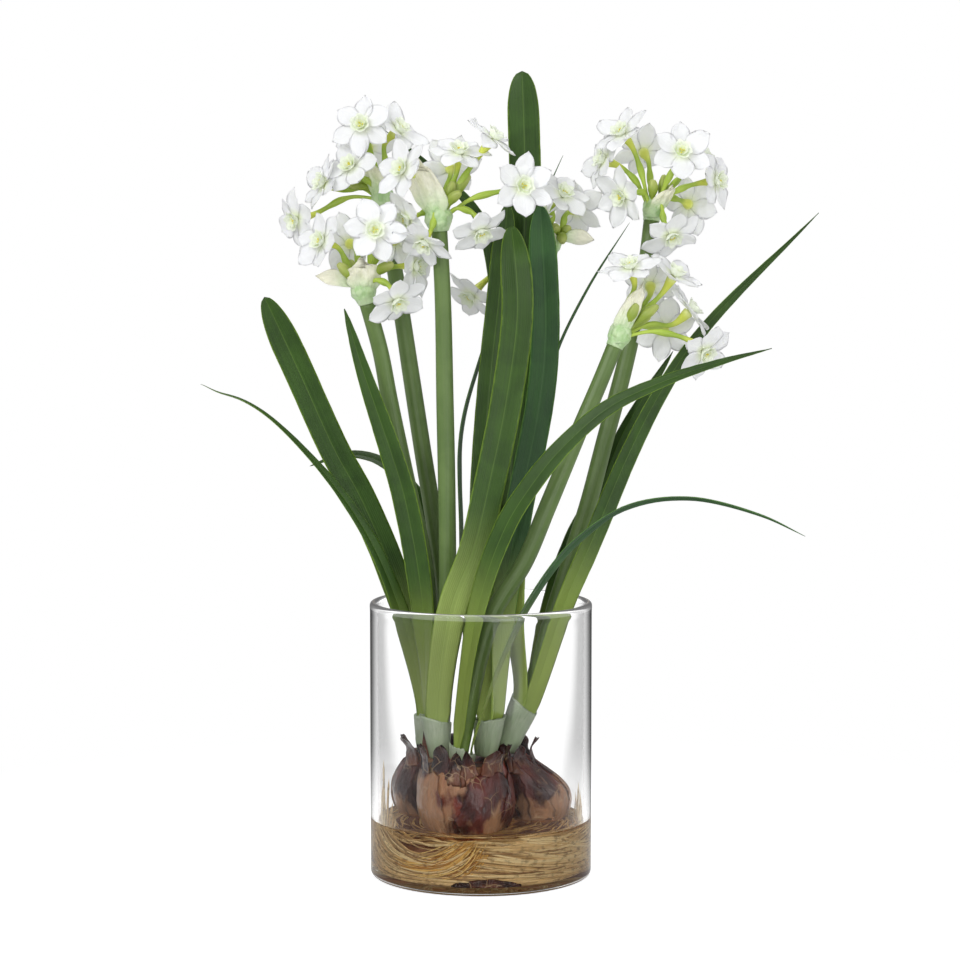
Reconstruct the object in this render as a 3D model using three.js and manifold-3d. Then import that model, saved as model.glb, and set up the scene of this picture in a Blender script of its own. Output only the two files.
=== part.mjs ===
// Paperwhite narcissus in a glass cylinder: three bulbs with their roots set in clear water, five shoots,
// fifteen leaves and six flower heads. Millimetres, +Z up, origin under the middle of the vase.
import * as THREE from 'three';
import { mergeVertices } from 'three/addons/utils/BufferGeometryUtils.js';
import Module from 'manifold-3d';

const wasm = await Module();
wasm.setup();

// Driving dimensions
const GAP = 0.3; // clearance between pieces that touch
const VASE_RADIUS = 62.5;
const VASE_HEIGHT = 155;
const VASE_WALL = 4;
const VASE_BASE = 10;
const VASE_SIDES = 36;
const VASE_FOOT = 2.5; // radius of the rounded edge under the vase
const RIM_BEAD = 0.7; // how far the fire-polished rim stands out of the wall
const RIM_HEIGHT = 4;
const COVE = 3; // chamfer between the vase's floor and its wall, inside
const WATER_LEVEL = 31.5;
const POCKET_RADIUS = 55.5; // the hollow in the water that the roots and bulbs fill
const POCKET_FLOOR = 13;
const LEAF_THICKNESS = 0.9;
const LEAF_STATIONS = 9;
const TIP_STATIONS = 1.5; // over 1, the stations lie closer together towards a leaf's tip
const LEAF_CHANNEL = 0.09; // depth of a blade's channel, as a share of its width
const SCAPE_RADIUS = 4.9;
const SCAPE_FOOT_RADIUS = 3;
const SCAPE_NECK_RADIUS = 4; // where it leaves its sheath
const SCAPE_TOP_RADIUS = 4.4;
const SCAPE_SIDES = 8;
const SCAPE_STATIONS = 7;
const SHEATH_WALL = 0.8;
const SHEATH_FLOOR = 1.2;
const SHEATH_SIDES = 10;
const SHEATH_SLACK = 0.6; // room between a blade's edges and the sheath
const TEPAL_LENGTH = 14.2; // from the middle of a floret to the tip of a tepal
const TEPAL_THICKNESS = 0.8;
const CORONA_HEIGHT = 4.5;
const CORONA_RADIUS = 4.6;
const CORONA_WALL = 0.8;
const CORONA_SIDES = 5;
const TUBE_LENGTH = 13; // from the end of a flower's stalk to its tepals
const TUBE_RADII = { ovary: 1.9, waist: 1.3, mouth: 2.3 };
const PEDICEL_RADIUS = 1.1;
const STALK_SIDES = 4;
const BUD_RADIUS = 3.1;
const HUB_HEIGHT = 7; // the swollen end of a stem that the stalks spread from
const SPATHE_THICKNESS = 0.7;
const SPATHE_GIRTH = 3.4; // radius of a spathe where it clasps its stem
const ROOT_RADIUS = 0.85;
const FULL_TURN = 2 * Math.PI;

const inner = { radius: VASE_RADIUS - VASE_WALL, floor: VASE_BASE + GAP };
const up = new THREE.Vector3(0, 0, 1);
const depth = new THREE.Vector3(0, 1, 0);
const group = new THREE.Group();

// ---------------------------------------------------------------- materials

const finish = (color, roughness, extra = {}) =>
  new THREE.MeshStandardMaterial({ color, roughness, metalness: 0, ...extra });

const MATERIALS = {
  glass: finish(0xdfe8e6, 0.03, { transparent: true, opacity: 0.25 }),
  water: finish(0xe0d8b8, 0.05, { transparent: true, opacity: 0.35 }),
  bulb: finish(0x6b4040, 0.4),
  root: finish(0xb8a068, 0.6),
  sheath: finish(0x9db08a, 0.55),
  scape: finish(0x5a8040, 0.45),
  leaf: finish(0x3f6a2c, 0.45),
  head: finish(0xe9eadf, 0.6),
};

// ------------------------------------------------------- geometry functions

const vec = (x, y, z) => new THREE.Vector3(x, y, z);
const smooth = (from, to, value) => THREE.MathUtils.smoothstep(value, from, to);
const radians = THREE.MathUtils.degToRad;

// A closed surface through a row of rings, which may have different numbers of points. One point is a pole.
function loft(rings) {
  const points = rings.flat();
  const index = [];
  let start = 0;
  for (let k = 0; k + 1 < rings.length; k++) {
    const below = rings[k].length;
    const above = rings[k + 1].length;
    const next = start + below;
    let i = 0;
    let j = 0;
    const lastBelow = below === 1 ? 0 : below;
    const lastAbove = above === 1 ? 0 : above;
    while (i < lastBelow || j < lastAbove) {
      const stepBelow = j >= lastAbove || (i < lastBelow && (i + 1) / below <= (j + 1) / above);
      const a = start + (i % below);
      const b = next + (j % above);
      if (stepBelow) {
        index.push(a, start + ((i + 1) % below), b);
        i++;
      } else {
        index.push(a, next + ((j + 1) % above), b);
        j++;
      }
    }
    start = next;
  }
  const first = rings[0].length;
  for (let i = 1; i + 1 < first; i++) index.push(0, i + 1, i);
  for (let i = 1; i + 1 < points.length - start; i++) index.push(start, start + i, start + i + 1);
  return new THREE.BufferGeometry().setFromPoints(points).setIndex(index);
}

// A ring of points round a centre, square to the axis.
function ring(centre, axis, radius, sides) {
  const across = Math.abs(axis.y) < 0.9 ? depth.clone().cross(axis).normalize() : vec(1, 0, 0);
  const other = axis.clone().cross(across).normalize();
  const points = [];
  for (let i = 0; i < sides; i++) {
    const angle = (FULL_TURN * i) / sides;
    points.push(
      centre
        .clone()
        .addScaledVector(across, radius * Math.cos(angle))
        .addScaledVector(other, radius * Math.sin(angle)),
    );
  }
  return points;
}

// A rod along a smooth route, whose radius goes through the list given from its start to its end.
function rod(route, radii, sides, stations = radii.length - 1) {
  const curve = new THREE.CatmullRomCurve3(route, false, 'centripetal');
  const rings = [];
  for (let i = 0; i <= stations; i++) {
    const t = i / stations;
    const place = t * (radii.length - 1);
    const before = Math.min(Math.floor(place), radii.length - 2);
    const radius = THREE.MathUtils.lerp(radii[before], radii[before + 1], place - before);
    rings.push(ring(curve.getPointAt(t), curve.getTangentAt(t), radius, sides));
  }
  return loft(rings);
}

// A blade of even thickness about a grid of points. Both faces are split into triangles alike.
function sheet(rows, thickness) {
  const height = rows.length;
  const width = rows[0].length;
  const top = [];
  const bottom = [];
  for (let i = 0; i < height; i++) {
    for (let j = 0; j < width; j++) {
      const along = rows[Math.min(i + 1, height - 1)][j].clone().sub(rows[Math.max(i - 1, 0)][j]);
      const across = rows[i][Math.min(j + 1, width - 1)].clone().sub(rows[i][Math.max(j - 1, 0)]);
      const normal = across.cross(along).normalize();
      top.push(rows[i][j].clone().addScaledVector(normal, thickness / 2));
      bottom.push(rows[i][j].clone().addScaledVector(normal, -thickness / 2));
    }
  }
  const under = top.length;
  const index = [];
  const wall = (a, b) => index.push(a, under + a, b, b, under + a, under + b);
  for (let i = 0; i + 1 < height; i++) {
    for (let j = 0; j + 1 < width; j++) {
      const a = i * width + j;
      const c = a + width;
      index.push(a, a + 1, c + 1, a, c + 1, c);
      index.push(under + a, under + c + 1, under + a + 1, under + a, under + c, under + c + 1);
    }
    wall((i + 1) * width - 1, (i + 2) * width - 1);
    wall((i + 1) * width, i * width);
  }
  for (let j = 0; j + 1 < width; j++) {
    wall(j, j + 1);
    wall((height - 1) * width + j + 1, (height - 1) * width + j);
  }
  return new THREE.BufferGeometry().setFromPoints([...top, ...bottom]).setIndex(index);
}

function toSolid(geometry) {
  const bare = geometry.clone();
  bare.deleteAttribute('normal');
  bare.deleteAttribute('uv');
  const merged = mergeVertices(bare, 1e-4);
  const build = (triVerts) =>
    new wasm.Manifold(
      new wasm.Mesh({ numProp: 3, vertProperties: merged.attributes.position.array, triVerts }),
    );
  const triVerts = new Uint32Array(merged.index.array);
  const solid = build(triVerts);
  return solid.volume() > 0 ? solid : build(triVerts.reverse());
}

function toGeometry(solid) {
  const mesh = solid.getMesh();
  return new THREE.BufferGeometry()
    .setAttribute('position', new THREE.BufferAttribute(mesh.vertProperties, 3))
    .setIndex(new THREE.BufferAttribute(mesh.triVerts, 1));
}

// Joins pieces that grow together. Hollows that joining seals are filled and loose scraps are dropped.
function fuse(geometries) {
  const joined = geometries.map(toSolid).reduce((whole, piece) => whole.add(piece));
  const bodies = joined.decompose().sort((a, b) => b.volume() - a.volume());
  return toGeometry(bodies[0]);
}

function addPiece(name, geometry, material) {
  const mesh = new THREE.Mesh(geometry, material);
  mesh.name = name;
  group.add(mesh);
  return mesh;
}

const facingOut = (geometry) => toGeometry(toSolid(geometry));

// ------------------------------------------------------------ vase and water

function turned(profile, sides) {
  const points = profile.map(([radius, height]) => new THREE.Vector2(radius, height));
  const lathe = new THREE.LatheGeometry(points, sides).rotateX(Math.PI / 2);
  return facingOut(lathe);
}

function makeVase() {
  const R = VASE_RADIUS;
  const H = VASE_HEIGHT;
  return turned(
    [
      [0, 0],
      [R - VASE_FOOT, 0],
      [R - 0.3 * VASE_FOOT, 0.3 * VASE_FOOT],
      [R, VASE_FOOT],
      [R, H - RIM_HEIGHT],
      [R + RIM_BEAD, H - RIM_HEIGHT / 2],
      [R - RIM_HEIGHT / 4, H],
      [inner.radius + RIM_HEIGHT / 4, H],
      [inner.radius, H - RIM_HEIGHT / 2],
      [inner.radius, VASE_BASE + COVE],
      [inner.radius - COVE, VASE_BASE],
      [0, VASE_BASE],
    ],
    VASE_SIDES,
  );
}

function makeWater() {
  const outside = inner.radius - GAP;
  const cove = COVE + 0.1; // keeps the gap even across the chamfer
  const pocketCove = 2;
  return turned(
    [
      [0, inner.floor],
      [outside - cove, inner.floor],
      [outside, inner.floor + cove],
      [outside, WATER_LEVEL],
      [POCKET_RADIUS, WATER_LEVEL],
      [POCKET_RADIUS, POCKET_FLOOR + pocketCove],
      [POCKET_RADIUS - pocketCove, POCKET_FLOOR],
      [0, POCKET_FLOOR],
    ],
    VASE_SIDES,
  );
}

// -------------------------------------------------------------------- bulbs

// foot and crown are the middles of a bulb's underside and of its flat top, where the shoots come out.
// flaps are the directions, in degrees, of the torn ends of its papery coat.
const BULBS = {
  left: {
    foot: vec(-36, 22, 22), crown: vec(-29, 14, 68), radius: 16.5,
    shares: [0.34, 0.68, 0.92, 1, 0.94, 0.8, 0.66], flaps: [100, 165, 215, 262],
  },
  centre: {
    foot: vec(-8, -22, 17), crown: vec(-9, -20, 68), radius: 26,
    shares: [0.34, 0.68, 0.9, 1, 0.99, 0.94, 0.84], flaps: [-125, -80, -40, 5, 110],
  },
  right: {
    foot: vec(33, 10, 18), crown: vec(16, 5, 67), radius: 20,
    shares: [0.34, 0.68, 0.92, 1, 0.92, 0.72, 0.5], flaps: [-60, -5, 50, 110],
  },
};
const BULB_SIDES = 14;
const BULB_RIBS = 5;
const FLAP = { width: 11, height: 12, flare: 4, sunk: 5 };

function makeBulb({ foot, crown, radius, shares, flaps }) {
  const middle = foot.clone().lerp(crown, 0.12);
  middle.z = THREE.MathUtils.lerp(foot.z, crown.z, 0.55);
  const curve = new THREE.CatmullRomCurve3([foot, middle, crown]);
  const last = shares.length - 1;
  const rings = shares.map((share, k) => {
    const centre = curve.getPointAt(k / last);
    return ring(centre, up, radius * share, BULB_SIDES).map((point, i) => {
      const rib = 1 + 0.02 * Math.sin((BULB_RIBS * FULL_TURN * i) / BULB_SIDES + 0.6 * k);
      return k === last ? point : centre.clone().lerp(point, rib);
    });
  });
  const torn = flaps.map((angle, k) => {
    const size = 1 + 0.2 * (k % 2);
    return makeFlap(crown, radius * shares[last], radians(angle), size);
  });
  return fuse([loft(rings), ...torn]);
}

// A torn scrap of the bulb's coat, rooted in its shoulder and flaring out at the top.
function makeFlap(crown, crownRadius, angle, size) {
  const rows = [0, 0.5, 1].map((t) => {
    const distance = crownRadius - 1 + FLAP.flare * t * t + 1.2 * t;
    const width = FLAP.width * size * (1 - 0.75 * t * t);
    return [-0.5, 0, 0.5].map((side) => {
      const turn = angle + (side * width) / crownRadius;
      const height = crown.z - FLAP.sunk + (FLAP.sunk + FLAP.height * size) * t;
      return vec(crown.x + distance * Math.cos(turn), crown.y + distance * Math.sin(turn), height);
    });
  });
  return sheet(rows, SHEATH_WALL);
}

// -------------------------------------------------------------------- roots

// Each bulb's roots leave a pad under it and sweep both ways round the glass, in lanes one inside the other.
// toward is the middle of a bulb's share of the wall and spread the reach to each side, in degrees.
// risers are the roots that climb the glass above the water: the direction in degrees, and the tip's height.
const ROOTS = {
  left: { toward: 165, spread: 50, risers: [[188, 52], [196, 66], [203, 58]] },
  centre: { toward: -78, spread: 58, risers: [] },
  right: { toward: 43, spread: 56, risers: [[-8, 44], [8, 50]] },
};
const ROOT_LEVELS = [15.8, 21.5, 27.5];
const ROOT_LANES = [53.2, 48.5];
const PAD = { radius: 11, floor: POCKET_FLOOR + GAP };

const onWall = (radius, degrees, z) =>
  vec(radius * Math.cos(radians(degrees)), radius * Math.sin(radians(degrees)), z);

function makeRoots({ toward, spread, risers }, { foot }) {
  const low = vec(foot.x, foot.y, PAD.floor);
  const high = vec(foot.x, foot.y, foot.z - GAP);
  const strands = [rod([low, high], [PAD.radius - 2, PAD.radius, PAD.radius - 4], SHEATH_SIDES)];
  const grow = (path, stations) => {
    const across = path[0].clone().setZ(0).sub(vec(foot.x, foot.y, 0)).normalize();
    const start = vec(foot.x, foot.y, PAD.floor + 1.2).addScaledVector(across, PAD.radius * 0.7);
    strands.push(rod([start, ...path], [ROOT_RADIUS, ROOT_RADIUS, ROOT_RADIUS * 0.7], 3, stations));
  };
  ROOT_LEVELS.forEach((level, k) => {
    ROOT_LANES.forEach((lane, m) => {
      for (const side of [-1, 1]) {
        const leave = toward + side * (5 + 18 * m + 5 * k);
        const arrive = toward + side * (spread - 3 * ((k + m) % 2));
        const out = onWall(lane * 0.86, leave - side * 4, 15.2 + 0.2 * (level - 15.8));
        const sweep = [0, 0.5, 1].map((t) => {
          const degrees = THREE.MathUtils.lerp(leave + side * 6, arrive, t);
          return onWall(lane - 1.2 * Math.sin(Math.PI * t), degrees, level - 1.5 * (1 - t));
        });
        grow([out, ...sweep], 5);
      }
    });
  });
  for (const [degrees, tip] of risers) {
    grow([onWall(49, degrees, 17), onWall(53, degrees + 2, 31), onWall(56.5, degrees + 5, tip)], 5);
  }
  return fuse(strands);
}

// ------------------------------------------------------------------- shoots

// A shoot is the pale sheath that holds the feet of its leaves and flower stems, standing on a bulb's crown.
// seat is how high up the sheath the leaf feet sit. bottom and top are the sheath's outer radii.
const SHOOTS = {
  front_left: {
    stand: vec(-23, -13, 68), lean: vec(-0.09, 0, 1), height: 25, bottom: 5.6, top: 9.2, seat: 9,
  },
  front: {
    stand: vec(-10.5, -25, 68), lean: vec(0.14, 0, 1), height: 8, bottom: 7, top: 8.4, seat: 2,
  },
  middle: {
    stand: vec(2.5, -11.5, 68), lean: vec(0.1, 0.05, 1), height: 24, bottom: 6, top: 9.4, seat: 9,
  },
  right: {
    stand: vec(14, 4, 67), lean: vec(0.42, 0, 1), height: 31, bottom: 6, top: 9.2, seat: 9,
  },
  back_left: {
    stand: vec(-28, 13, 68), lean: vec(0, 0, 1), height: 24, bottom: 9, top: 11, seat: 5,
  },
};

// A shoot's own axes. It stands clear of the crown, however much it leans.
function shootFrame({ stand, lean, bottom }) {
  const axis = lean.clone().normalize();
  const right = depth.clone().cross(axis).normalize();
  const back = axis.clone().cross(right);
  const base = stand.clone().addScaledVector(up, GAP + bottom * Math.hypot(axis.x, axis.y));
  return { base, axis, right, back };
}

// A point in a shoot: how far up its axis, how far out of it, and in which direction, in degrees.
function inShoot(shoot, height, distance, degrees) {
  const { base, axis, right, back } = shootFrame(shoot);
  return base
    .clone()
    .addScaledVector(axis, height)
    .addScaledVector(right, distance * Math.cos(radians(degrees)))
    .addScaledVector(back, distance * Math.sin(radians(degrees)));
}

function addSheath(name, shoot) {
  const { height, bottom, top } = shoot;
  const profile = [
    [0, 0],
    [bottom, 0],
    [top, height],
    [top - SHEATH_WALL, height],
    [bottom - SHEATH_WALL, SHEATH_FLOOR],
    [0, SHEATH_FLOOR],
  ];
  const mesh = addPiece(`sheath_${name}`, turned(profile, SHEATH_SIDES), MATERIALS.sheath);
  const { base, axis } = shootFrame(shoot);
  mesh.position.copy(base);
  mesh.quaternion.setFromUnitVectors(up, axis);
}

// ------------------------------------------------------------------- leaves

// from and at: the shoot that a leaf grows in, and on which side of it, in degrees.
// route: the points that its midrib passes above the sheath. width: of the blade at its widest.
// turn: how far the blade is turned from facing -Y, in degrees, at its foot, its middle and its tip.
// taper: the share of the length at which the blade starts to narrow. blunt: how round the tip is.
const LEAVES = {
  left_low: {
    from: 'back_left', at: 218, width: 10, turn: [-52, 35, 72], taper: 0.3, blunt: 1.2,
    route: [[-47, -7, 156], [-69, -14, 204], [-107, -18, 251], [-131, -18, 269], [-156, -15, 276]],
  },
  left_broad: {
    from: 'back_left', at: 160, width: 17, turn: [-110, 5, 0], taper: 0.72, blunt: 2,
    route: [[-45, 10, 154], [-67, 7, 211], [-82, 5, 239], [-102, 3, 284], [-121, 0, 326]],
  },
  left_inner: {
    from: 'front_left', at: 190, width: 14, turn: [-80, -10, 10], taper: 0.4, blunt: 1.3,
    route: [[-33, -19, 157], [-42, -20, 213], [-50, -21, 241], [-65, -24, 286], [-75, -27, 320]],
  },
  left_drooping: {
    from: 'back_left', at: 98, width: 12, turn: [8, 30, 60], taper: 0.55, blunt: 1.6,
    route: [[-25, 27, 151], [-27, 33, 182], [-36, 37, 210], [-56, 41, 230], [-76, 43, 235], [-99, 44, 228]],
  },
  front_broad: {
    from: 'front_left', at: -70, width: 17.5, neck: 10.5, turn: [20, 8, -5], taper: 0.7, blunt: 1.8,
    route: [[-16, -27, 153], [-4, -30, 186], [5, -32, 225], [14, -33, 270], [20, -34, 320], [17, -30, 365]],
  },
  centre_front: {
    from: 'middle', at: -45, width: 16, turn: [45, 5, 0], taper: 0.7, blunt: 2,
    route: [[13, -14, 156], [21, -9, 206], [33, -5, 268], [36, -3, 307], [33, -6, 377]],
  },
  centre_tall: {
    from: 'right', at: 222, width: 18, turn: [132, 165, 180], taper: 0.75, blunt: 2,
    route: [[18, -2, 150], [17, 4, 210], [19, 10, 267], [23, 14, 324], [25, 15, 381], [23, 12, 452]],
  },
  centre_back: {
    from: 'middle', at: -115, width: 14, turn: [-25, 0, 0], taper: 0.65, blunt: 1.8,
    route: [[0, -12, 156], [1, -4, 222], [6, 2, 287], [10, 3, 324], [15, 2, 378]],
  },
  back_left_thin: {
    from: 'middle', at: 175, width: 9, turn: [85, 75, 70], taper: 0.4, blunt: 1.2,
    route: [[-9, 6, 135], [-11, 24, 193], [-11, 35, 248], [-1, 42, 287], [14, 50, 329], [32, 60, 372],
      [48, 66, 407]],
  },
  back_right_thin: {
    from: 'right', at: 140, width: 9, turn: [50, 75, 75], taper: 0.4, blunt: 1.2,
    route: [[21, 24, 151], [27, 38, 207], [37, 46, 265], [44, 50, 293], [62, 53, 330], [86, 50, 368]],
  },
  front_arching: {
    from: 'front', at: 215, width: 13, turn: [-55, -30, -25], taper: 0.45, blunt: 1.3,
    route: [[-2, -37, 157], [13, -42, 201], [27, -45, 224], [43, -47, 244], [69, -49, 267],
      [98, -50, 281], [131, -49, 292], [158, -46, 299]],
  },
  right_upper: {
    from: 'right', at: -60, width: 12, turn: [30, 15, 30], taper: 0.4, blunt: 1.3,
    route: [[48, -7, 156], [61, -7, 186], [82, -5, 236], [101, -1, 273], [126, 4, 309], [190, 12, 373]],
  },
  front_thin: {
    from: 'front', at: -10, width: 10, turn: [80, 60, 62], taper: 0.4, blunt: 1.2,
    route: [[12, -37, 128], [30, -45, 165], [51, -52, 193], [79, -56, 213], [113, -58, 218], [151, -58, 209],
      [176, -55, 197]],
  },
  right_back: {
    from: 'right', at: 62, width: 12, turn: [152, 165, 160], taper: 0.5, blunt: 1.5,
    route: [[41, 22, 152], [53, 26, 186], [68, 27, 215], [82, 25, 249], [109, 20, 295]],
  },
  back_arching: {
    from: 'middle', at: 110, width: 13, turn: [20, 20, 40], taper: 0.5, blunt: 1.4,
    route: [[3, 8, 120], [4, 21, 153], [8, 35, 237], [12, 39, 300], [3, 44, 361], [-6, 47, 378],
      [-34, 51, 404], [-55, 53, 421]],
  },
};
const LEAF_FOOT_WIDTH = 5.2;
const LEAF_NECK_WIDTH = 7.6;
const LEAF_NECK_PLACE = 0.06; // where a blade leaves its sheath, as a share of its length

function leafWidth({ width, neck = LEAF_NECK_WIDTH, taper, blunt }, t) {
  if (t > taper) {
    const u = (t - taper) / (1 - taper);
    return Math.max(width * (1 - u ** blunt) ** (1 / blunt), LEAF_THICKNESS);
  }
  const low = THREE.MathUtils.lerp(LEAF_FOOT_WIDTH, neck, smooth(0, LEAF_NECK_PLACE, t));
  return THREE.MathUtils.lerp(low, width, smooth(LEAF_NECK_PLACE, 0.28, t));
}

// How far from a shoot's axis a blade of this width fits inside the sheath at this height.
function ringInside({ height, bottom, top }, place, width) {
  const room = THREE.MathUtils.lerp(bottom, top, place / height) - SHEATH_WALL - SHEATH_SLACK;
  return Math.sqrt(room ** 2 - (width / 2) ** 2) - LEAF_THICKNESS / 2 - LEAF_CHANNEL * width;
}

function leafTurn(turn, t) {
  const [foot, middle, tip] = turn;
  const lower = THREE.MathUtils.lerp(foot, middle, smooth(LEAF_NECK_PLACE, 0.4, t));
  return radians(THREE.MathUtils.lerp(lower, tip, smooth(0.4, 1, t)));
}

function makeLeaf(leaf) {
  const shoot = SHOOTS[leaf.from];
  const footRing = ringInside(shoot, shoot.seat, LEAF_FOOT_WIDTH);
  const neckRing = ringInside(shoot, shoot.height, leaf.neck ?? LEAF_NECK_WIDTH);
  const foot = inShoot(shoot, shoot.seat, footRing, leaf.at);
  const neck = inShoot(shoot, shoot.height, neckRing, leaf.at);
  const points = [foot, neck, ...leaf.route.map((p) => vec(...p))];
  const curve = new THREE.CatmullRomCurve3(points, false, 'centripetal');
  const stations = [0, LEAF_NECK_PLACE];
  for (let i = 0; i < LEAF_STATIONS; i++) {
    const closing = 1 - (1 - i / (LEAF_STATIONS - 1)) ** TIP_STATIONS;
    stations.push(THREE.MathUtils.lerp(0.14, 1, closing));
  }
  const rows = stations.map((t) => {
    const point = curve.getPointAt(t);
    const tangent = curve.getTangentAt(t);
    const across = depth.clone().cross(tangent).normalize();
    const away = tangent.clone().cross(across);
    const turn = leafTurn(leaf.turn, t);
    const side = across.multiplyScalar(Math.cos(turn)).addScaledVector(away, Math.sin(turn));
    const normal = tangent.clone().cross(side);
    const width = leafWidth(leaf, t);
    return [-0.5, 0, 0.5].map((share) =>
      point
        .clone()
        .addScaledVector(side, share * width)
        .addScaledVector(normal, (0.25 - share * share) * 4 * LEAF_CHANNEL * width),
    );
  });
  return facingOut(sheet(rows, LEAF_THICKNESS));
}

// ------------------------------------------------- flower stems and heads

// from, offset: the shoot, and how far off its axis the stem stands, as a share of the room that there is.
// route: its points, the last one the hub that the flower stalks spread from.
// spathe: the papery bract's direction in degrees, height and width.
// florets: where the middle of each flower lies, seen from the hub, and the way it looks. buds: their tips.
const STEMS = {
  left_front: {
    from: 'back_left', offset: [0.25, -0.7],
    route: [[-28, 7, 110], [-30, 5, 154], [-32, 4, 177], [-43, 1, 228], [-51, -3, 268], [-56, -7, 296],
      [-64, -11, 326]],
    spathe: { toward: 200, height: 24, width: 17 },
    florets: [
      { at: [6, -19, 37], face: [0.05, -1, 0.1] },
      { at: [-24, -9, 31], face: [-0.7, -0.6, 0.3] },
      { at: [18, -17, -2], face: [0.4, -0.6, -0.7] },
      { at: [28, 2, 17], face: [0.8, -0.4, 0] },
      { at: [-10, 21, 30], face: [-0.3, 0.9, 0.2] },
      { at: [16, 20, 32], face: [0.4, 0.85, 0.2] },
    ],
    buds: [[-15, -9, 19], [-9, 2, 21], [16, -7, 19]],
  },
  left_back: {
    from: 'back_left', offset: [0.5, 0.6],
    route: [[-23, 16, 110], [-21, 17, 153], [-25, 17, 187], [-33, 18, 238], [-40, 20, 284], [-46, 21, 324],
      [-55, 22, 378]],
    spathe: { toward: 170, height: 34, width: 19 },
    florets: [
      { at: [-12, -14, 44], face: [-0.2, -0.95, 0.25] },
      { at: [9, -6, 42], face: [0.6, -0.4, 0.6] },
      { at: [-34, -6, 12], face: [-0.8, -0.4, 0.3] },
      { at: [-49, -12, -9], face: [-0.75, -0.6, -0.25] },
      { at: [-18, -16, 21], face: [-0.5, -0.7, 0.5] },
      { at: [-10, 22, 33], face: [-0.2, 0.9, 0.3] },
    ],
    buds: [[-19, -3, 10]],
  },
  centre: {
    from: 'front_left', offset: [0.1, 0.8],
    route: [[-22, -10, 106], [-19, -12, 157], [-19, -13, 212], [-20, -14, 269], [-21, -15, 324],
      [-23, -17, 366]],
    spathe: { toward: 190, height: 38, width: 22 },
    florets: [
      { at: [-20, -13, 30], face: [-0.6, -0.65, 0.35] },
      { at: [-18, -3, 3], face: [-0.7, -0.5, -0.3] },
      { at: [-8, -14, -10], face: [-0.35, -0.5, -0.75] },
      { at: [11, -3, 40], face: [0.1, -0.5, 0.8] },
      { at: [30, -1, 48], face: [0.6, -0.2, 0.75] },
      { at: [46, -15, 21], face: [0.35, -0.9, 0.1] },
      { at: [23, -11, -4], face: [0.3, -0.55, -0.75] },
      { at: [6, 23, 32], face: [0, 0.9, 0.35] },
    ],
    buds: [[8, -3, 24], [17, 3, 28], [12, -9, 18]],
  },
  middle_back: {
    from: 'middle', offset: [0.1, 0],
    route: [[7, -6, 106], [9, 9, 140], [14, 22, 190], [22, 34, 266], [32, 42, 317], [40, 45, 353]],
    spathe: { toward: -20, height: 26, width: 14 },
    florets: [
      { at: [7, -11, 31], face: [0.45, -0.6, 0.65] },
      { at: [-5, 0, 20], face: [-0.4, -0.3, 0.8] },
      { at: [-46, -5, -27], face: [-0.6, -0.5, -0.6] },
      { at: [15, 17, 23], face: [0.5, 0.8, 0.3] },
    ],
    buds: [[3, -7, 13], [12, -1, 12], [7, -7, 3]],
  },
  right_top: {
    from: 'right', offset: [0, 0],
    route: [[28, 4, 103], [43, 6, 154], [54, 9, 188], [61, 11, 210], [70, 14, 244], [82, 18, 289],
      [93, 22, 341], [97, 25, 372]],
    spathe: { toward: 10, height: 26, width: 16 },
    florets: [
      { at: [-18, -11, 46], face: [-0.5, -0.5, 0.65] },
      { at: [-28, -3, 31], face: [-0.85, -0.3, 0.35] },
      { at: [-18, -15, 10], face: [-0.7, -0.6, -0.2] },
      { at: [15, -20, 35], face: [0.1, -0.9, 0.35] },
      { at: [36, -7, 19], face: [0.8, -0.5, 0.1] },
      { at: [30, 12, 33], face: [0.7, 0.1, 0.6] },
      { at: [10, -15, -12], face: [0.3, -0.6, -0.7] },
      { at: [-4, 25, 37], face: [-0.2, 0.8, 0.5] },
      { at: [23, 23, 6], face: [0.5, 0.8, -0.2] },
    ],
    buds: [[0, -5, 20], [7, 2, 23]],
  },
  right_low: {
    from: 'front', offset: [0, 0],
    route: [[-5, -26, 108], [7, -27, 152], [24, -26, 180], [37, -25, 211], [54, -24, 252], [66, -22, 280],
      [75, -20, 302]],
    spathe: { toward: 165, height: 38, width: 12 },
    florets: [
      { at: [7, -6, 41], face: [-0.2, -0.45, 0.85] },
      { at: [32, 2, 37], face: [0.5, -0.3, 0.8] },
      { at: [42, 12, 17], face: [0.75, -0.1, 0.6] },
      { at: [48, -8, -6], face: [0.6, -0.65, -0.5] },
      { at: [20, 24, 31], face: [0.1, 0.85, 0.5] },
      { at: [28, 24, 6], face: [0.3, 0.95, -0.1] },
    ],
    buds: [[11, -4, 21], [23, 0, 20], [19, 6, 14]],
  },
};

// A stem's centre line, from its foot in the sheath to the hub of its head.
function stemCurve({ from, offset, route }) {
  const shoot = SHOOTS[from];
  const share = Math.hypot(...offset);
  const degrees = THREE.MathUtils.radToDeg(Math.atan2(offset[1], offset[0]));
  const room = (radius, stemRadius) => radius - SHEATH_WALL - SHEATH_SLACK - stemRadius;
  const footOffset = share * room(shoot.bottom, SCAPE_FOOT_RADIUS);
  const neckOffset = share * room(shoot.top, SCAPE_NECK_RADIUS);
  const foot = inShoot(shoot, SHEATH_FLOOR + GAP, footOffset, degrees);
  const neck = inShoot(shoot, Math.max(shoot.height, 16), neckOffset, degrees);
  return new THREE.CatmullRomCurve3([foot, neck, ...route.map((p) => vec(...p))], false, 'centripetal');
}

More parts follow.
